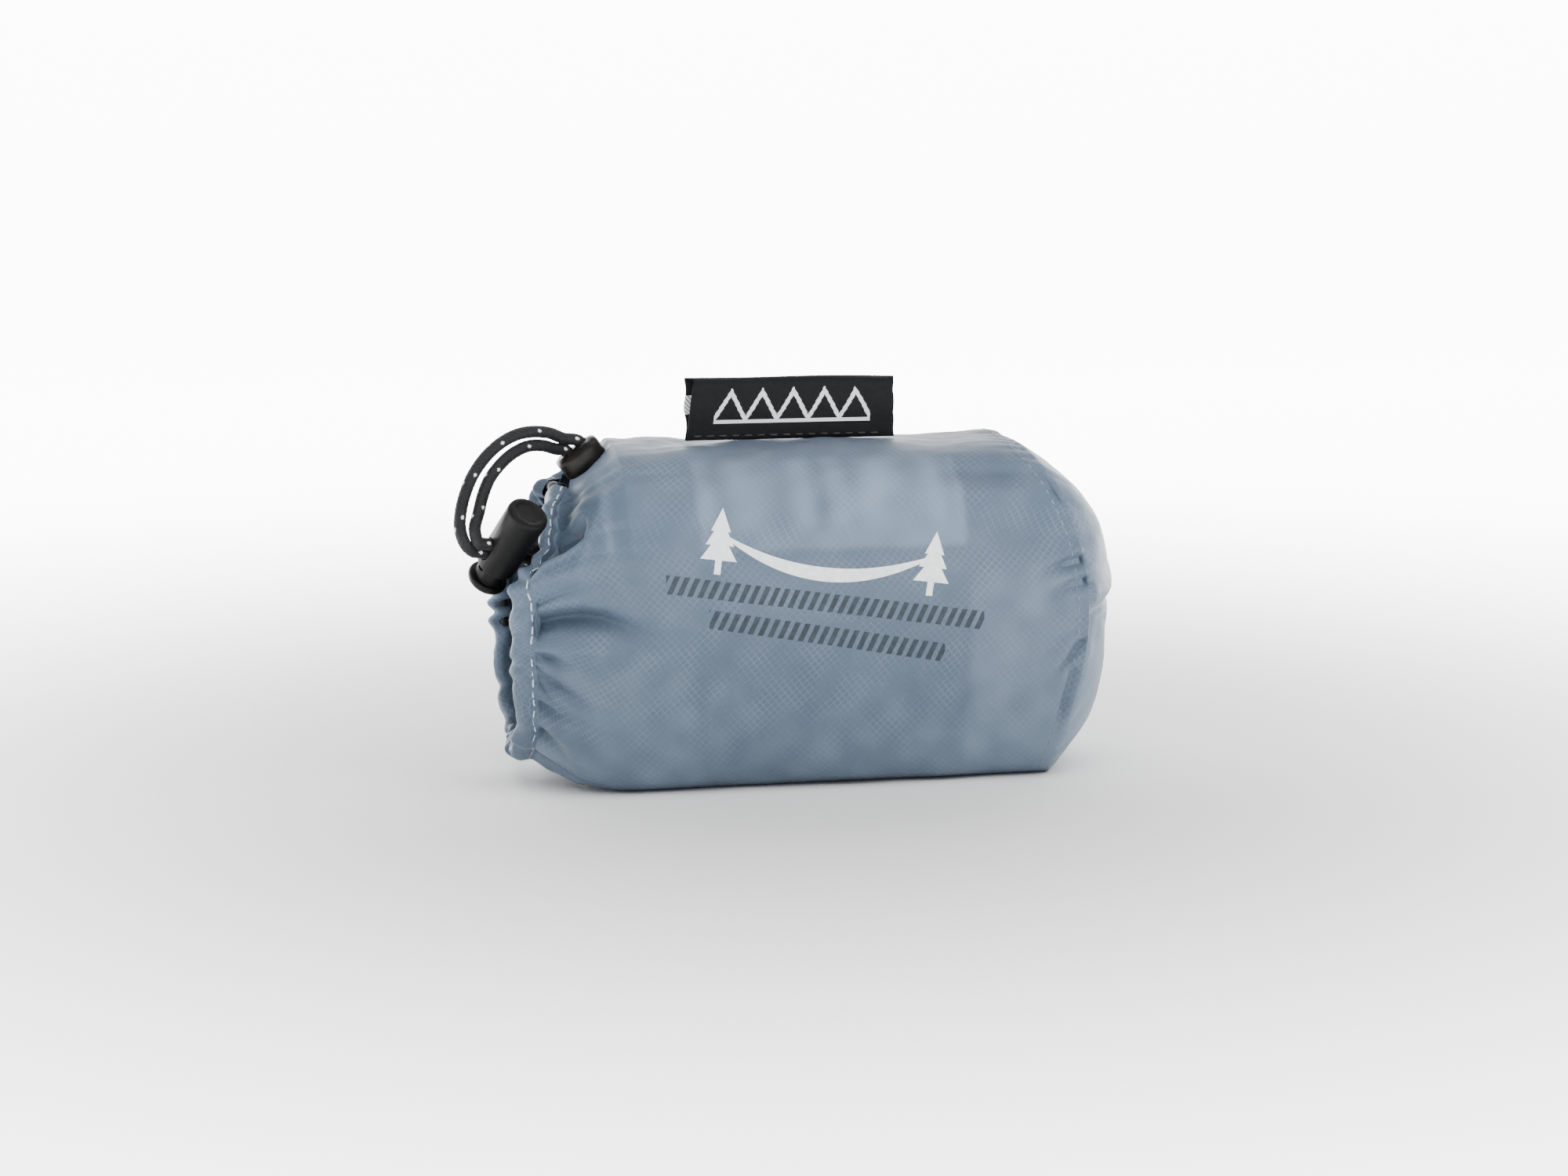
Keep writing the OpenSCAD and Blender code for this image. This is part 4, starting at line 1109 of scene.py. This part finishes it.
allowance = {"wide": 4.6, "ridgeWide": 4.4, "thick": 0.8, "fromSeam": 3.0}  # mm
careTag = {"wide": 49.0, "long": 23, "thick": 0.28, "middle": 1.6, "top": 74.9, "tilt": 38}  # mm and degrees
allow = np.stack([seamX - seamBow(colAngle[::4]) - allowance["fromSeam"], *(section(colAngle[::4]) * [0.945, 1]).T], 1)
allow[:, 2] = midHeight + (allow[:, 2] - midHeight) * 0.955
across = np.tile([1.0, 0, 0], (len(allow), 1))
strip = addStrip("baseSeamAllowance", allow, across, allowance["wide"], allowance["thick"], fabricPlain, loop=True)
inFrame(strip, "sack", "base_seam_allowance")
x = np.linspace(-45, 40, 80)
ridge = np.stack([x, 0.25 * np.sin(x / 7.0), np.full(80, 74.7)], 1)
across = np.tile([0, 0, 1.0], (len(ridge), 1))
strip = addStrip("topSeamAllowance", ridge, across, allowance["ridgeWide"], allowance["thick"], fabricPlain)
inFrame(strip, "sack", "top_seam_allowance")
t = np.linspace(0, 1, 30)
tilt, down = math.radians(careTag["tilt"]), careTag["long"]
y, z = -1.0 - down * math.sin(tilt) * t, careTag["top"] - down * math.cos(tilt) * t
hang = np.stack([0 * t + careTag["middle"], y, z], 1)
care = addStrip("careLabel", hang, np.tile([1.0, 0, 0], (len(t), 1)), careTag["wide"], careTag["thick"], careLook)
inFrame(care, "sack", "care_label")
print("straps, seam allowances and care label made")

# cords inside: the loop in the hem, the knot, the slings

loopLooks = dict(cordLooks, step=0.45, sides=20)
gapAngle = math.radians(16)
inHem = hemLine(np.linspace(math.pi / 2 + gapAngle, math.pi / 2 + full - gapAngle, 45))
intoHem = guardAt + np.array([(3.5, 0.3, -6.4), (1.3, 1.4, -9), (-1.9, 2.8, -10), (-5.7, 3, -8)])
outOfHem = guardAt + np.array([(-6.2, -2.4, -7.3), (-4.5, -0.8, -7.8), (-1.1, 0, -8)])
first, last = [guardCord(1, -2.1), guardCord(1, -4.4)], [guardCord(-1, -4.4), guardCord(-1, -2.1)]
loopRoute = [*first, *intoHem, *inHem, *outOfHem, *last]
loopCord = braidedTube("drawcordLoop", loopRoute, loopLooks, cordLook, radius=1.35)[0]
inFrame(loopCord, "sack", "drawcord_loop")

t = np.linspace(0.1, full + 0.05, 90)
trefoil = np.stack([np.sin(t) + 2 * np.sin(2 * t), -1.55 * np.sin(3 * t), np.cos(t) - 2 * np.cos(2 * t)], 1) * 0.86
knotAt = lockAt + np.array([12.9, 6, -24.4])
knotCord = braidedTube("drawcordKnot", knotAt + trefoil, dict(cordLooks, sides=24), cordLook, radius=1.25)[0]
inFrame(knotCord, "sack", "drawcord_knot")

slingLooks = dict(cordLooks, step=0.9, sides=14, depth=0.08, strands=6, tracerEvery=3)


def slingMaterial():
    # slick braided polyethylene: a pale waxy green, painted darker in the gaps between the strands as shade
    made, put = newMaterial("braidedPolyethyleneLine")
    strand = put("Attribute", out=2, attribute_name="strand")
    uvMap = put("UVMap", uv_map="UVMap")
    waves = {"Vector": uvMap, "Scale": 190.0, "Distortion": 1.0}
    wave = put("TexWave", sockets=waves, bands_direction="DIAGONAL", out=1)
    tone = put("Mix", sockets={"Factor": wave, "A": srgb("#7E8758"), "B": srgb("#A9B47A")}, **inColour)
    # painted shade: darker where the strands sink
    tone = put("Mix", sockets={"Factor": strand, "A": srgb("#5B6340"), "B": tone}, **inColour)
    finishMaterial(put, Base_Color=tone, Roughness=0.42,
                   Normal=put("Bump", sockets={"Height": wave, "Strength": 0.4, "Distance": 0.0001}))
    return made


slingLook = slingMaterial()
hank = {"middle": 1.75, "half": 12.2, "round": 11.05, "turns": 10, "pitch": 3.2, "front": -16, "cord": 1.42}  # mm
for which, z in (("lower", 13.2), ("upper", 38.5)):
    k = np.arange(0, hank["turns"] * 24 + 1) / 24
    a = full * (0.25 + k + 1 / 32)
    c = np.cos(a)
    x = hank["middle"] + hank["round"] * c + hank["half"] * np.tanh(c * 9)
    route = np.stack([x, hank["pitch"] * k + hank["front"], z + hank["round"] * np.sin(a)], 1)
    tube, path, length = braidedTube("whoopieSling" + which.title(), route, slingLooks, slingLook, radius=hank["cord"])
    inFrame(tube, "sack", "whoopie_sling_" + which)
    print("sling", which, "is", round(length), "mm long")

# cord lock and guard

lock = {
    "outer": 4.8,  # mm, radius at the closed end
    "rim": 4.65,  # radius at the open rim
    "long": 17.8,
    "bore": 3.7,
    "boreDeep": 16.3,
    "stem": 3.5,
    "head": 4.7,
    "headThick": 2.6,
    "headGap": 3.7,
    "stemOver": 2.4,  # that the stem reaches past the slot
    "slotAt": 4.9,
    "slotWide": 3.3,
    "slotLong": 6.2,
    "cutDeep": 22,
    "travel": 3.5,
}


def addLathe(name, profile, material, sides=96):
    # a closed outline of (radius, height) turned round the Z axis; both ends lie on the axis
    p = np.asarray(profile, float)
    q = np.linspace(0, full, sides, endpoint=False)
    r, z = p[1:-1, 0, None], p[1:-1, 1, None]
    ring = np.stack(np.broadcast_arrays(r * np.cos(q), r * np.sin(q), z), -1)
    points = np.vstack([ring.reshape(-1, 3), [[0, 0, p[0, 1]], [0, 0, p[-1, 1]]]])
    return addMesh(name, points, pointedFaces(len(p) - 2, sides), None, material)


def rounded(corners, radius, steps=6):
    # an outline whose inner corners are each replaced by a short arc-like run (quadratic through the corner)
    c = np.asarray(corners, float)
    out = [c[0]]
    for i in range(1, len(c) - 1):
        r = radius[i - 1]
        if r <= 0:
            out.append(c[i])
            continue
        a = c[i] + unit(c[i - 1] - c[i]) * r
        b = c[i] + unit(c[i + 1] - c[i]) * r
        t = np.linspace(0, 1, steps)[:, None]
        out.extend((1 - t) ** 2 * a + 2 * t * (1 - t) * c[i] + t**2 * b)
    out.append(c[-1])
    return np.array(out)


def stadiumPrism(wide, long, deep, at):
    # a round-ended bar along local X after the turn, used only to cut
    q = np.linspace(-math.pi / 2, math.pi / 2, 17)
    half = (long - wide) / 2
    right = np.stack([wide / 2 * np.sin(q), half + wide / 2 * np.cos(q)], 1)
    ring = np.vstack([right, -right])
    pts = [np.stack([np.full(len(ring), x), ring[:, 0], ring[:, 1] + at], 1) for x in (-deep / 2, deep / 2)]
    c, s = math.cos(slotTurn), math.sin(slotTurn)
    turn = np.array([[c, -s, 0], [s, c, 0], [0, 0, 1]])
    return addMesh("cutter", np.vstack(pts) @ turn.T, cappedFaces(2, len(ring)))


def outward(mesh):  # turns every face of a closed mesh outwards
    work = bmesh.new()
    work.from_mesh(mesh)
    bmesh.ops.remove_doubles(work, verts=work.verts, dist=1e-7)
    bmesh.ops.recalc_face_normals(work, faces=work.faces)
    work.to_mesh(mesh)
    work.free()


def cutBy(piece, cutters, soften):
    # takes the cutters away from the piece, then rounds its sharp edges a little
    outward(piece.data)
    for cutter in cutters:
        outward(cutter.data)
        step = piece.modifiers.new("cut", "BOOLEAN")
        step.operation, step.solver, step.object = "DIFFERENCE", "EXACT", cutter
    if soften:
        edge = piece.modifiers.new("soften", "BEVEL")
        edge.width, edge.segments = soften * mm, 2
        edge.limit_method, edge.angle_limit = "ANGLE", math.radians(42)
    made = bpy.data.meshes.new_from_object(piece.evaluated_get(bpy.context.evaluated_depsgraph_get()))
    piece.modifiers.clear()
    piece.data = made
    for cutter in cutters:
        bpy.data.objects.remove(cutter)
    made.polygons.foreach_set("use_smooth", [True] * len(made.polygons))
    made.set_sharp_from_angle(angle=math.radians(38))
    return piece


def onLock(piece):  # from the lock's own axes to its place; the slot's middle is on the origin's height
    turn = np.stack([lockSide, lockBack, lockAxis], 1)
    co = np.empty(len(piece.data.vertices) * 3, np.float32)
    piece.data.vertices.foreach_get("co", co)
    co = co.reshape(-1, 3) @ turn.T + (lockAt - lock["slotAt"] * lockAxis) * mm
    piece.data.vertices.foreach_set("co", co.astype(np.float32).ravel())
    piece.data.update()


def plasticMaterial(name, colour, bright, rough):
    # moulded acetal: satin black, a fine spark-eroded texture and faint scuffs on it
    made, put = newMaterial(name)
    place = put("TexCoord", out=3)
    grain = put("TexNoise", sockets={"Vector": place, "Scale": 4200.0, "Detail": 2.0})  # 0.25 mm
    scuff = put("TexNoise", sockets={"Vector": place, "Scale": 260.0, "Detail": 5.0})
    worn = put("Math:MULTIPLY_ADD", scuff, 2.2, -0.95, use_clamp=True)
    tone = put("Mix", sockets={"Factor": worn, "A": srgb(colour), "B": srgb(bright)}, **inColour)
    uneven = put("Math:MULTIPLY_ADD", worn, -0.1, rough)
    finishMaterial(put, Base_Color=tone, Roughness=uneven, IOR=1.48, Specular_IOR_Level=0.17,
                   Normal=put("Bump", sockets={"Height": grain, "Strength": 0.25, "Distance": 0.00005}))
    return made


lockPlastic = plasticMaterial("mouldedAcetalBlack", "#060607", "#0E0F10", 0.5)
guardLook = plasticMaterial("heatSealedPuSleeve", "#0D0A09", "#1E1A18", 0.4)


def barrelPiece():
    r, rim, long = lock["outer"], lock["rim"], lock["long"]
    bore, deep = lock["bore"], lock["boreDeep"]
    closedEnd = [(0, long - 0.35), (r - 1.9, long - 0.3), (r - 1.5, long), (r - 0.15, long), (r, long - 1.2)]
    openEnd = [(rim, 0.9), (rim - 0.05, 0), (bore + 0.15, 0), (bore, 0.5), (bore, deep), (0, deep)]
    out = rounded(closedEnd + openEnd, [0.2, 0.3, 0.9, 0.3, 0.4, 0.35, 0.25, 0.2, 0.5])
    piece = addLathe("cordLockBarrel", out[::-1], lockPlastic)
    return cutBy(piece, [stadiumPrism(lock["slotWide"], lock["slotLong"], lock["cutDeep"], lock["slotAt"])], 0.16)


def plungerPiece():
    gap, thick, stem, head = lock["headGap"], lock["headThick"], lock["stem"], lock["head"]
    top = lock["slotAt"] + lock["slotLong"] / 2 + lock["stemOver"]
    neck = [(0, top), (stem, top), (stem, -gap), (head - 0.2, -gap)]
    button = [(head, -gap - 0.9), (head - 0.25, -gap - 1.8), (head - 1.6, -gap - thick), (0, -gap - thick)]
    out = rounded(neck + button, [0.35, 0.2, 0.5, 0.4, 0.6, 0.9])
    piece = addLathe("cordLockPlunger", out[::-1], lockPlastic)
    longer, middle = lock["slotLong"] + lock["travel"], lock["slotAt"] - lock["travel"] / 2
    return cutBy(piece, [stadiumPrism(lock["slotWide"], longer, lock["cutDeep"], middle)], 0.12)


barrel, plunger = barrelPiece(), plungerPiece()
for piece, bodyName, node in ((barrel, "cord_lock", "cord_lock_barrel"), (plunger, "plunger", "cord_lock_plunger")):
    onLock(piece)
    inFrame(piece, bodyName, node)

sleeve = {"half": 5.5, "wide": 4.2, "thick": 2.0, "hole": 1.6}  # mm, all from its middle


def guardPiece():
    # a short soft-edged sleeve, fuller in its middle, with two holes for the cord
    u = np.linspace(-math.pi / 2, math.pi / 2, 40)[:, None]
    v = np.linspace(0, full, 72, endpoint=False)[None, :]
    x = sleeve["half"] * signedPower(np.sin(u), 0.42) * np.ones_like(v)
    y = sleeve["wide"] * np.abs(np.cos(u)) ** 0.42 * signedPower(np.cos(v), 0.55)
    z = sleeve["thick"] * np.abs(np.cos(u)) ** 0.42 * signedPower(np.sin(v), 0.6)
    z = np.where(z < 0, z * 2.5, z - 0.012 * y**2)  # it reaches in under the edge of the cloth
    z = z + 0.10 * np.sin(x * 2.1 + y) * (z > 0.5)
    turn = np.stack([guardAlong, [0, 1.0, 0], guardUp], 1)
    inner = np.stack([x, y, z], -1)[1:-1]
    points = np.vstack([inner.reshape(-1, 3), [[-sleeve["half"], 0, 0], [sleeve["half"], 0, 0]]])
    faces = pointedFaces(*inner.shape[:2])
    piece = addMesh("cordExitGuard", points @ turn.T + guardAt, faces, None, guardLook)
    cutters = []
    q = np.linspace(0, full, 40, endpoint=False)[:, None]
    for side in (-1, 1):
        middle = guardAt + side * guardPitch / 2 * guardAlong
        ring = middle + sleeve["hole"] * (np.cos(q) * guardAlong + np.sin(q) * np.array([0, 1.0, 0]))
        pts = np.vstack([ring - 7 * guardUp, ring + 5 * guardUp])
        cutters.append(addMesh("cutter", pts, cappedFaces(2, len(ring))))
    return cutBy(piece, cutters, 0.12)


inFrame(guardPiece(), "sack", "cord_exit_guard")


def springMaterial():
    # drawn music wire: bright steel with faint lengthwise drawing lines
    made, put = newMaterial("drawnSpringSteel")
    drawn = put("TexNoise", sockets={"Vector": put("TexCoord", out=3), "Scale": 1800.0, "Detail": 3.0})
    tone = put("Mix", sockets={"Factor": drawn, "A": srgb("#A9ABAD"), "B": srgb("#C9CBCD")}, **inColour)
    finishMaterial(put, Base_Color=tone, Metallic=1.0, Roughness=put("Math:MULTIPLY_ADD", drawn, 0.2, 0.18))
    return made


spring = nodes["cord_lock_spring"]
spring.data.materials.clear()
spring.data.materials.append(springMaterial())
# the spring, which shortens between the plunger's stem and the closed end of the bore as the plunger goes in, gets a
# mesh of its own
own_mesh(spring)
print("cord lock and guard made")

# folded label

label = {
    "left": -29.3,
    "right": 20.7,
    "foot": 78.3,
    "top": 92.8,
    "thick": 0.42,
    "black": "#060709",
    "yarn": "#17191D",
    "white": "#ECEDEE",
    "markFrom": -23.5,
    "markTo": 14.9,
    "markLow": 83.0,
    "markHigh": 89.6,
    "peak": 7.68,  # mm from peak to peak of the woven hills
    "foldRound": 1.25,
    "stitches": 15,  # on each side
    "stitchFrom": -27.3,
    "stitchPitch": 3,
    "stitchHigh": 79.3,
    "stitchOut": 0.62,
}


def labelMaterial():
    # damask-woven polyester: close black satin, hills woven in thick white floats with stepped edges
    made, put = newMaterial("damaskWovenLabel")
    uvMap = put("UVMap", uv_map="UVMap")
    split = put("SeparateXYZ", uvMap, out=None)
    u, v = (put("Math:MULTIPLY", split.outputs[k], 1000.0) for k in range(2))
    p, q = put("Math:SNAP", u, 0.22), put("Math:SNAP", v, 0.3)
    high = label["markHigh"] - label["markLow"]
    half = label["peak"] / 2
    rise = put("Math:MULTIPLY", put("Math:PINGPONG", put("Math:SUBTRACT", p, label["markFrom"]), half), high / half)
    fromLine = put("Math:SUBTRACT", put("Math:SUBTRACT", q, label["markLow"]), rise)
    line = put("Math:SUBTRACT", 0.95, put("Math:ABSOLUTE", fromLine))
    low = put("Math:SUBTRACT", 0.34, put("Math:ABSOLUTE", put("Math:SUBTRACT", q, label["markLow"] - 0.5)))
    inside = put("Math:MINIMUM", put("Math:SUBTRACT", p, label["markFrom"]), put("Math:SUBTRACT", label["markTo"], p))
    motif = put("Math:MINIMUM", put("Math:MAXIMUM", line, low), inside)
    # at the cut ends, on the half behind, loose white floats
    depth = put("SeparateXYZ", put("TexCoord", out=3), out=None).outputs[1]
    middle, reach = (label["left"] + label["right"]) / 2, (label["right"] - label["left"]) / 2
    end = put("Math:SUBTRACT", put("Math:ABSOLUTE", put("Math:SUBTRACT", p, middle)), reach - 1.5)
    stray = put("Math:SUBTRACT", 2.2, put("Math:ABSOLUTE", put("Math:SUBTRACT", q, 86.4)))
    behind = put("Math:MULTIPLY", put("Math:SUBTRACT", depth, 0.0003), 1000.0)
    dashes = put("Math:SUBTRACT", put("Math:PINGPONG", put("Math:ADD", u, v), 0.5), 0.12)
    loose = folded(put, "Math:MINIMUM", end, stray, behind, dashes)
    mark = put("Math:GREATER_THAN", put("Math:MAXIMUM", motif, loose), 0.0)
    warp = put("Math:PINGPONG", put("Math:MULTIPLY", u, 1 / 0.44), 0.5)
    weft = put("Math:PINGPONG", put("Math:MULTIPLY", v, 1 / 0.3), 0.5)
    slant = put("Math:ADD", put("Math:MULTIPLY", u, 1 / 0.5), put("Math:MULTIPLY", v, 1 / 0.9))
    satin = put("Math:PINGPONG", slant, 0.5)
    thread = put("Math:MULTIPLY", satin, weft, use_clamp=True)
    ground = put("Mix", sockets={"Factor": thread, "A": srgb(label["black"]), "B": srgb(label["yarn"])}, **inColour)
    crown = put("Math:MULTIPLY_ADD", put("Math:MULTIPLY", warp, weft), 3.0, 0.25, use_clamp=True)
    floats = put("Mix", sockets={"Factor": crown, "A": srgb("#9EA2A6"), "B": srgb(label["white"])}, **inColour)
    tone = put("Mix", sockets={"Factor": mark, "A": ground, "B": floats}, **inColour)
    height = put("Math:ADD", put("Math:MULTIPLY", mark, 0.7), put("Math:ADD", weft, put("Math:MULTIPLY", satin, 0.5)))
    rough = put("Math:MULTIPLY_ADD", mark, 0.05, 0.55)
    finishMaterial(put, Base_Color=tone, Roughness=rough, Specular_IOR_Level=0.12, Sheen_Weight=0.03,
                   Normal=put("Bump", sockets={"Height": height, "Strength": 0.5, "Distance": 0.0001}))
    return made


def labelPiece():
    # a tape folded over into a loop: both feet together in the seam, sides apart, a round fold on top;
    # the cut ends curl in towards the fold
    half = label["foldRound"]
    t = np.linspace(0, 1, 14)
    apart = 0.28 + (half - 0.28) * smooth((t - 0.12) / 0.5)
    rise = np.stack([-apart, label["foot"] + (label["top"] - half - label["foot"]) * t], 1)
    q = np.linspace(math.pi, 0, 15)[1:-1]
    fold = np.stack([half * np.cos(q), label["top"] - half + half * np.sin(q)], 1)
    line = np.vstack([rise, fold, rise[::-1] * [-1, 1]])
    run = runAlong(line)
    even = np.linspace(0, run[-1], 84)
    line = np.stack([np.interp(even, run, line[:, k]) for k in range(2)], 1)
    w = np.linspace(0, 1, 150)[None, :]
    y, z = line[:, 0][:, None], line[:, 1][:, None]
    front = smooth((0.6 - y) / 1.2)
    up = smooth((z - 81) / 10)
    left = label["left"] + 0.25 + front * (1.9 * up + 0.5 * np.sin((z - 78) * 0.42))
    left = left + (1 - front) * 0.25 * np.sin((z - 80) * 0.8)
    right = label["right"] - 0.25 - front * (0.7 * up + 0.3 * np.sin((z - 79) * 0.5))
    right = right + (1 - front) * 0.2 * np.sin((z - 80) * 0.7)
    x = left + (right - left) * w
    ends = np.exp(-w * 9) + np.exp(-(1 - w) * 9)
    y = y * (1 + 0.10 * np.sin(w * 9.0) * up) + ends * (0.35 * up) * np.sign(-y) * 0.6
    z = z - (0.35 * w + 0.15 * np.sin(w * 7)) * up * 0.9 - 0.35 * ends * up * front
    grid = np.stack(np.broadcast_arrays(x, y, z), -1)
    side = even[:, None] + label["foot"]
    # lengths up the front face stand for heights, and the same again down the back
    v = np.where(even[:, None] <= run[-1] / 2, side, run[-1] - even[:, None] + label["foot"])
    u = np.broadcast_to(label["left"] + (label["right"] - label["left"]) * w, grid.shape[:2])
    piece = addGrid("labelLoop", grid, u * mm, np.broadcast_to(v, grid.shape[:2]) * mm, False, labelLook)
    outward(piece.data)
    wall = piece.modifiers.new("tape", "SOLIDIFY")
    wall.thickness, wall.offset = label["thick"] * mm, 0.0
    return piece


labelLook = labelMaterial()
tape = labelPiece()
inFrame(tape, "label", "label_loop")
count = label["stitches"]
x = label["stitchFrom"] + label["stitchPitch"] * np.arange(count)
rows = [np.stack([x, np.full(count, s * label["stitchOut"]), np.full(count, label["stitchHigh"])], 1) for s in (-1, 1)]
start = np.concatenate(rows)
out = np.concatenate([np.tile([0, s * 1.0, 0], (count, 1)) for s in (-1, 1)])
end = start + [1.9, 0, 0]
addStitches("labelStitches", start, end, out, 0.34, blackThread, "label", "label_stitches")
print("label made")

# what the soft pieces are

for which, hole, held in (("upper", 1, [knotCord, barrel, plunger]), ("lower", -1, [])):
    tube, path, length = tails[which]
